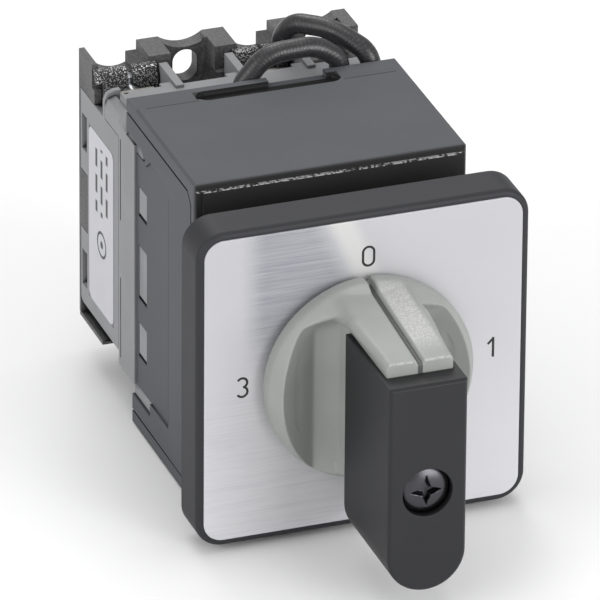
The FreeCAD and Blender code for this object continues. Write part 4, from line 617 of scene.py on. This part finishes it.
def dress(node):
    """A finished copy of a CAD node, shown in its place."""
    mesh = merged(node)
    if node in EDGE_WIDTH:
        round_edges(mesh, EDGE_WIDTH[node])
    piece = add_piece(node + "_dressed", mesh, body_of_node[node], finish_of(node))
    flat = piece.modifiers.new("large faces stay flat", "WEIGHTED_NORMAL")
    flat.keep_sharp = True
    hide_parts(node)
    return piece


DRESSED = ("front_frame", "panel_seal", "lever", "hood", "latch_housing",
           "front_deck", "rear_deck", "terminal_block", "terminal_screws", "tie_screws",
           "type_label", "dial_plate", "clamp_front_near", "clamp_front_far",
           "clamp_rear_near", "clamp_rear_far", "jumper_front", "jumper_rear")
for node in DRESSED:
    print(node, "faces:", len(dress(node).data.polygons))

# %% [markdown]
# The knob is one moulding: a disc with a finger scoop on each side of a raised fin. Its surfaces
# run into each other, which hard CAD edges don't show. The copy is remeshed into small even faces
# and then shaped by moving its points, as with a sculpting brush: the fin's top flares towards the
# disc, each scoop is cut wider down to a valley, and the fin's foot is smoothed into the disc.


# %% Even faces
def as_mesh(source):
    """The mesh of an object with its modifiers applied. The object itself is removed."""
    bpy.context.scene.collection.objects.link(source)
    data = bpy.data.meshes.new_from_object(
        source.evaluated_get(bpy.context.evaluated_depsgraph_get()))
    bpy.data.objects.remove(source)
    mesh = bmesh.new()
    mesh.from_mesh(data)
    return mesh


def remeshed(node, voxel):
    """A bmesh of a CAD node in even faces of one size."""
    data = bpy.data.meshes.new(node + "_even")
    mesh = merged(node)
    bmesh.ops.triangulate(mesh, faces=mesh.faces)
    mesh.to_mesh(data)
    mesh.free()
    source = bpy.data.objects.new(node + "_source", data)
    grid = source.modifiers.new("even faces", "REMESH")
    grid.mode = "VOXEL"
    grid.voxel_size = voxel * MM
    return as_mesh(source)


# %% [markdown]
# All heights on the knob are measured from the plate towards the viewer, because that is how the
# scoops were read from the photograph. A scoop is made of three surfaces: a wall that rises to its
# crest, a floor that rises to the fin, and an end that closes it at the top. The highest of them
# is the surface, and a soft maximum runs them into each other.

# %% Shape of the knob
plate_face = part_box("dial_plate")[0][1]
VOXEL = 0.20                        # size of the even faces: smaller ones would be too many
FIN_HALF = 4.5                      # half of the fin's width
FLARE = 0.8                         # what the fin's top gains on each side at the disc
FLARE_FROM, FLARE_FULL = lever_high[2] + 0.1, 11.3   # z between which the flare comes up
FLARE_FADE = (8.0, 19.5)            # heights over which it fades towards the fin's front
FLARE_FOOT = (1.0, 4.0)             # heights over which it starts from the disc's rear
FLARE_INNER, FLARE_OUTER = 0.6, 9.5  # where it starts at the groove, and where it is gone
CREST, CREST_HEIGHT = 12.7, 5.2     # the scoop's edge at mid height: its radius and height
CREASE, CREASE_HEIGHT = 7.7, 2.6    # the valley between the scoop's wall and its floor
WALL_SLOPE, FLOOR_SLOPE = 0.52, 0.55
CLOSED_FROM, CLOSED_TO = 5.0, 11.3  # z between which the scoop's upper end rises
END_SUNK, END_RISE = 1.0, 4.3       # how far that end starts below the valley, and its rise
BLEND = 0.42                        # how softly the scoop's three surfaces run together
CUT_BESIDE = 0.25                   # how far from the fin a scoop starts
CUT_LOW, CUT_HIGH = 0.8, 7.2        # heights between which points are cut down


def rising(value, low, high):
    share = min(max((value - low) / (high - low), 0.0), 1.0)
    return share * share * (3.0 - 2.0 * share)


def scoop(x, z):
    """Height of the scoop's surface over the plate: the highest of wall, floor and upper end."""
    wall = CREST_HEIGHT - (CREST - x) * WALL_SLOPE
    floor = CREASE_HEIGHT + (CREASE - x) * FLOOR_SLOPE
    end = max(z - CLOSED_FROM, 0.0) / (CLOSED_TO - CLOSED_FROM)
    valley = max(wall, floor)
    closing = CREASE_HEIGHT - END_SUNK + END_RISE * end * end
    return BLEND * math.log(math.exp(valley / BLEND) + math.exp(closing / BLEND))


def flared(reach, height, z):
    """Where a point of the fin moves to, sideways."""
    flare = FLARE * (1.0 - rising(height, *FLARE_FADE)) * rising(z, FLARE_FROM, FLARE_FULL)
    flare *= rising(height, *FLARE_FOOT)
    outside = 1.0 - rising(reach, FIN_HALF + 0.1, FLARE_OUTER)
    return reach + flare * rising(reach, FLARE_INNER, FIN_HALF) * outside


# %% Knob
ANYWHERE = 100.0
SOFTENED = (    # rounds of smoothing, above which z, between which |x| and which heights
    (40, 10.0, (3.9, 7.5), (3.0, 9.0)),       # where the fin's top turns into the disc
    (12, 9.9, (3.0, 8.5), (2.2, 12.0)),       # the same place, wider
    (4, -ANYWHERE, (FIN_HALF + 0.1, ANYWHERE), (-ANYWHERE, 8.0)),   # disc and scoops
    (2, -ANYWHERE, (-ANYWHERE, ANYWHERE), (-ANYWHERE, ANYWHERE)),   # the whole knob
)


def on_knob(point):
    """A point's distance sideways, its height over the plate and its z, in millimetres."""
    return abs(point.co.x) / MM, (plate_face - point.co.y) / MM, point.co.z / MM


def soften(mesh, rounds, above, sideways, heights):
    """Smooths the points inside a range for some rounds, as with a sculpting brush."""
    chosen = []
    for point in mesh.verts:
        reach, height, z = on_knob(point)
        if z > above and sideways[0] < reach < sideways[1] and heights[0] < height < heights[1]:
            chosen.append(point)
    for _ in range(rounds):
        bmesh.ops.smooth_vert(mesh, verts=chosen, factor=0.5, use_axis_x=True,
                              use_axis_y=True, use_axis_z=True)


knob_mesh = remeshed("knob", VOXEL)
for point in knob_mesh.verts:
    reach, height, z = on_knob(point)
    side = 1.0 if point.co.x > 0 else -1.0
    if z > FLARE_FROM and height > FLARE_FOOT[0]:
        reach = flared(reach, height, z)
    if reach > FIN_HALF + CUT_BESIDE and CUT_LOW < height < CUT_HIGH:
        height = min(height, scoop(reach, z))
    point.co = Vector((side * reach * MM, plate_face - height * MM, point.co.z))
for step in SOFTENED:
    soften(knob_mesh, *step)
knob = add_piece("knob_dressed", knob_mesh, "handle", "grey_knob", smooth=60.0)
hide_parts("knob")
print("knob faces:", len(knob.data.polygons))

# %% [markdown]
# The lever's screw has a domed head with a cross recess whose arms run out in points. Its profile
# is spun about the axis in fine rings, and the recess is pressed into the dome by moving points.


# %% Lever screw
screw_low, screw_high = in_mm(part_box("lever_screw"))
middle_z = (screw_low[2] + screw_high[2]) / 2
SHANK, HEAD_THICK, HEAD_EDGE = 1.4, 1.35, 0.55
ARM, ARM_HALF, RECESS = 2.15, 0.80, 1.0    # cross recess: an arm's length, half width, depth
RECESS_WALL = 2.6                          # how steeply the recess's walls go down
RINGS, TURN_STEPS = 44, 96


def screw_profile():
    """Radius and y from the shank's end to the middle of the domed face."""
    radius, front, seat = screw_high[0], screw_low[1], screw_low[1] + HEAD_THICK
    points = [(0.0, screw_high[1]), (SHANK, screw_high[1]), (SHANK, seat), (radius, seat)]
    for i in range(RINGS + 1):
        share = 1.0 - i / RINGS
        points.append((radius * share, front + HEAD_EDGE * share ** 3))
    return points


def pressed(x, z):
    """Depth of the recess: two crossed lozenges."""
    arms = [abs(a) / ARM + abs(b) / ARM_HALF for a, b in ((x, z), (z, x))]
    return RECESS * min(max(1.0 - min(arms), 0.0) * RECESS_WALL, 1.0)


screw = bmesh.new()
line = [screw.verts.new((r * MM, y * MM, middle_z * MM)) for r, y in screw_profile()]
edges = [screw.edges.new(pair) for pair in zip(line, line[1:])]
bmesh.ops.spin(screw, geom=line + edges, cent=(0, 0, middle_z * MM), axis=(0, 1, 0),
               angle=math.tau, steps=TURN_STEPS, use_merge=True)
bmesh.ops.remove_doubles(screw, verts=screw.verts, dist=WELD * MM)
bmesh.ops.recalc_face_normals(screw, faces=screw.faces)
for point in screw.verts:
    if point.co.y < (screw_low[1] + HEAD_EDGE) * MM:
        point.co.y += pressed(point.co.x / MM, point.co.z / MM - middle_z) * MM
screw_piece = add_piece("lever_screw_dressed", screw, "handle", "dark_steel", smooth=50.0)
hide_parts("lever_screw")
print("screw faces:", len(screw_piece.data.polygons))

# %% [markdown]
# The dial's numbers are printed in strokes of one width. Each is one or two lines with a round
# bevel, made a mesh and pressed flat on the plate. At rest the 2 lies hidden behind the lever.


# %% Dial numbers
STROKE = 0.17             # half of a stroke's width
PRINT_WELD = 0.001        # points of a stroke nearer than this are one
PRINT_THICK = 0.1         # how flat a stroke is pressed
BOWL, STEM = 0.75, 1.335  # half of a number's width and of its height
THREE_LEFT, THREE_UP, THREE_LOW = -0.05, (0.66, 0.67), (-0.63, 0.71)   # the 3's two bows


def arc(x, z, radius, start, end, steps=16):
    """Points along an arc around x, z, from one angle to another in degrees."""
    turns = [math.radians(start + (end - start) * i / steps) for i in range(steps + 1)]
    return [(x + radius * math.cos(a), z + radius * math.sin(a)) for a in turns]


LINES = {
    "0": [arc(0, STEM - BOWL, BOWL, 0, 180) + arc(0, BOWL - STEM, BOWL, 180, 360)],
    "1": [[(-BOWL, STEM - BOWL), (0, STEM)], [(0, STEM + STROKE), (0, -STEM)]],
    "2": [arc(0, STEM - BOWL, BOWL, 165, -35) + [(-BOWL, -STEM)], [(-BOWL, -STEM), (BOWL, -STEM)]],
    "3": [arc(THREE_LEFT, *THREE_UP, 150, -80), arc(THREE_LEFT, *THREE_LOW, 80, -150)],
}
NUMBER_PLACES = {"0": (0.55, 16.2), "1": (17.7, 0.2), "2": (0.0, -17.3), "3": (-16.35, 0.2)}


def number(text):
    """Draws one number, makes it a mesh and lays it flat on the plate."""
    line = bpy.data.curves.new("number_" + text, "CURVE")
    line.dimensions = "3D"
    line.bevel_depth = STROKE * MM
    line.bevel_resolution = 3
    line.use_fill_caps = True
    for stroke in LINES[text]:
        path = line.splines.new("POLY")
        path.points.add(len(stroke) - 1)
        for point, (x, z) in zip(path.points, stroke):
            point.co = (x * MM, 0.0, z * MM, 1.0)
        path.use_cyclic_u = text == "0"
    mesh = as_mesh(bpy.data.objects.new("number_source", line))
    bmesh.ops.remove_doubles(mesh, verts=mesh.verts, dist=PRINT_WELD * MM)
    bmesh.ops.recalc_face_normals(mesh, faces=mesh.faces)
    x, z = NUMBER_PLACES[text]
    flat = Matrix.Diagonal((1.0, PRINT_THICK, 1.0, 1.0))
    bmesh.ops.transform(mesh, matrix=Matrix.Translation((x * MM, plate_face, z * MM)) @ flat,
                        verts=mesh.verts)
    piece = add_piece("number_" + text, mesh, "housing", "dial_print")


for text in LINES:
    number(text)
print("numbers:", sorted(LINES))

# %% [markdown]
# What stays inside keeps its CAD shape and gets its finish.

# %% Inner pieces
inner = sorted(set(nodes) - set(DRESSED) - {"knob", "lever_screw"})
for name in inner:
    slots = nodes[name].data.materials
    slots.clear()
    slots.append(finishes[finish_of(name)].material)
print("inner nodes:", inner)

# %% [markdown]
# The photograph was taken with a long lens from the front left and above. The camera was solved
# from the corners of the dial plate and the frame: its direction, distance and slight roll.

# %% Camera
azimuth, elevation, roll = math.radians(19.83), math.radians(27.40), math.radians(0.44)
distance, pixels_per_mm = 1292.0, 7.826
PHOTO_WIDTH = 600.0                        # in pixels
SENSOR, FAR = 36.0, 10.0                   # sensor in mm, and how far the camera sees in metres
TO_RIGHT, TO_UP, TO_FRONT = -8.09, 8.89, 6.3   # from the origin to the picture's centre, in mm
back = Vector((-math.sin(azimuth) * math.cos(elevation),
               -math.cos(azimuth) * math.cos(elevation), math.sin(elevation)))
level = Vector((math.cos(azimuth), -math.sin(azimuth), 0.0))
above = back.cross(level)
right = level * math.cos(roll) + above * math.sin(roll)
up = above * math.cos(roll) - level * math.sin(roll)
eye = back * distance + right * TO_RIGHT + up * TO_UP - Vector((0.0, TO_FRONT, 0.0))
camera_data = bpy.data.cameras.new("camera")
camera_data.sensor_width = SENSOR
camera_data.lens = pixels_per_mm * distance * SENSOR / PHOTO_WIDTH
camera_data.clip_end = FAR
camera = bpy.data.objects.new("camera", camera_data)
axes = Matrix((right, up, back)).transposed().to_4x4()
camera.matrix_world = Matrix.Translation(eye * MM) @ axes
bpy.context.scene.collection.objects.link(camera)
bpy.context.scene.camera = camera
print("lens in mm:", round(camera_data.lens, 1))

# %% [markdown]
# A pale floor, a white room and four soft lamps. The room gives an even fill, so that a colour
# renders about as it is written. In the photograph the left sides are lighter than the front, so
# a large lamp stands on the left. A faint one hangs above, the key lamp stands at the right in
# front and throws the lever's shadow to the left, and one lights the rear edges from behind.


# %% Floor and lamps
LAMPS = {     # where each stands in metres, how wide it is in metres and its power in watts
    "left lamp": ((-0.88, -0.38, 0.40), 0.8, 4.0),
    "top lamp": ((0.0, 0.15, 1.0), 0.8, 2.2),
    "key lamp": ((0.45, -0.85, 0.25), 0.7, 7.0),
    "rim lamp": ((0.1, 0.8, 0.8), 0.6, 3.0),
}
LIT_POINT = (0.0, 0.02, 0.0)
FLOOR_HALF = 3.0


def floor():
    """A pale plane just below the switch."""
    mesh = bmesh.new()
    bmesh.ops.create_grid(mesh, x_segments=1, y_segments=1, size=FLOOR_HALF)
    bmesh.ops.translate(mesh, verts=mesh.verts, vec=(0.0, 0.0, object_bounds()[0][2]))
    data = bpy.data.meshes.new("floor")
    mesh.to_mesh(data)
    mesh.free()
    plane = bpy.data.objects.new("floor", data)
    bpy.context.scene.collection.objects.link(plane)
    finish = Finish("pale floor")
    finish.set(Base_Color=grey(0.86), Roughness=0.9)
    data.materials.append(finish.material)
    plane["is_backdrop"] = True


def lamp(name, place, size, power):
    """A round soft lamp, turned to the switch."""
    light = bpy.data.lights.new(name, "AREA")
    light.shape = "DISK"
    light.size = size
    light.energy = power
    thing = bpy.data.objects.new(name, light)
    aim = (Vector(LIT_POINT) - Vector(place)).to_track_quat("-Z", "Y")
    thing.matrix_world = Matrix.Translation(place) @ aim.to_matrix().to_4x4()
    bpy.context.scene.collection.objects.link(thing)
    thing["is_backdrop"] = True


floor()
for name, settings in LAMPS.items():
    lamp(name, *settings)
print("lamps:", sorted(LAMPS))

# %% White room
ROOM_LIGHT, BACKDROP = 0.66, 1.0     # what lights the object, and what the camera sees behind it
world = bpy.data.worlds.new("white room")
bpy.context.scene.world = world
world.use_nodes = True
tree = world.node_tree
tree.nodes.clear()
output = tree.nodes.new("ShaderNodeOutputWorld")
blend = tree.nodes.new("ShaderNodeMixShader")
rays = tree.nodes.new("ShaderNodeLightPath")
tree.links.new(rays.outputs["Is Camera Ray"], blend.inputs[0])
for socket, strength in ((1, ROOM_LIGHT), (2, BACKDROP)):
    white = tree.nodes.new("ShaderNodeBackground")
    white.inputs["Color"].default_value = (1.0, 1.0, 1.0, 1.0)
    white.inputs["Strength"].default_value = strength
    tree.links.new(white.outputs[0], blend.inputs[socket])
tree.links.new(blend.outputs[0], output.inputs["Surface"])
bpy.context.scene.view_settings.view_transform = "Standard"
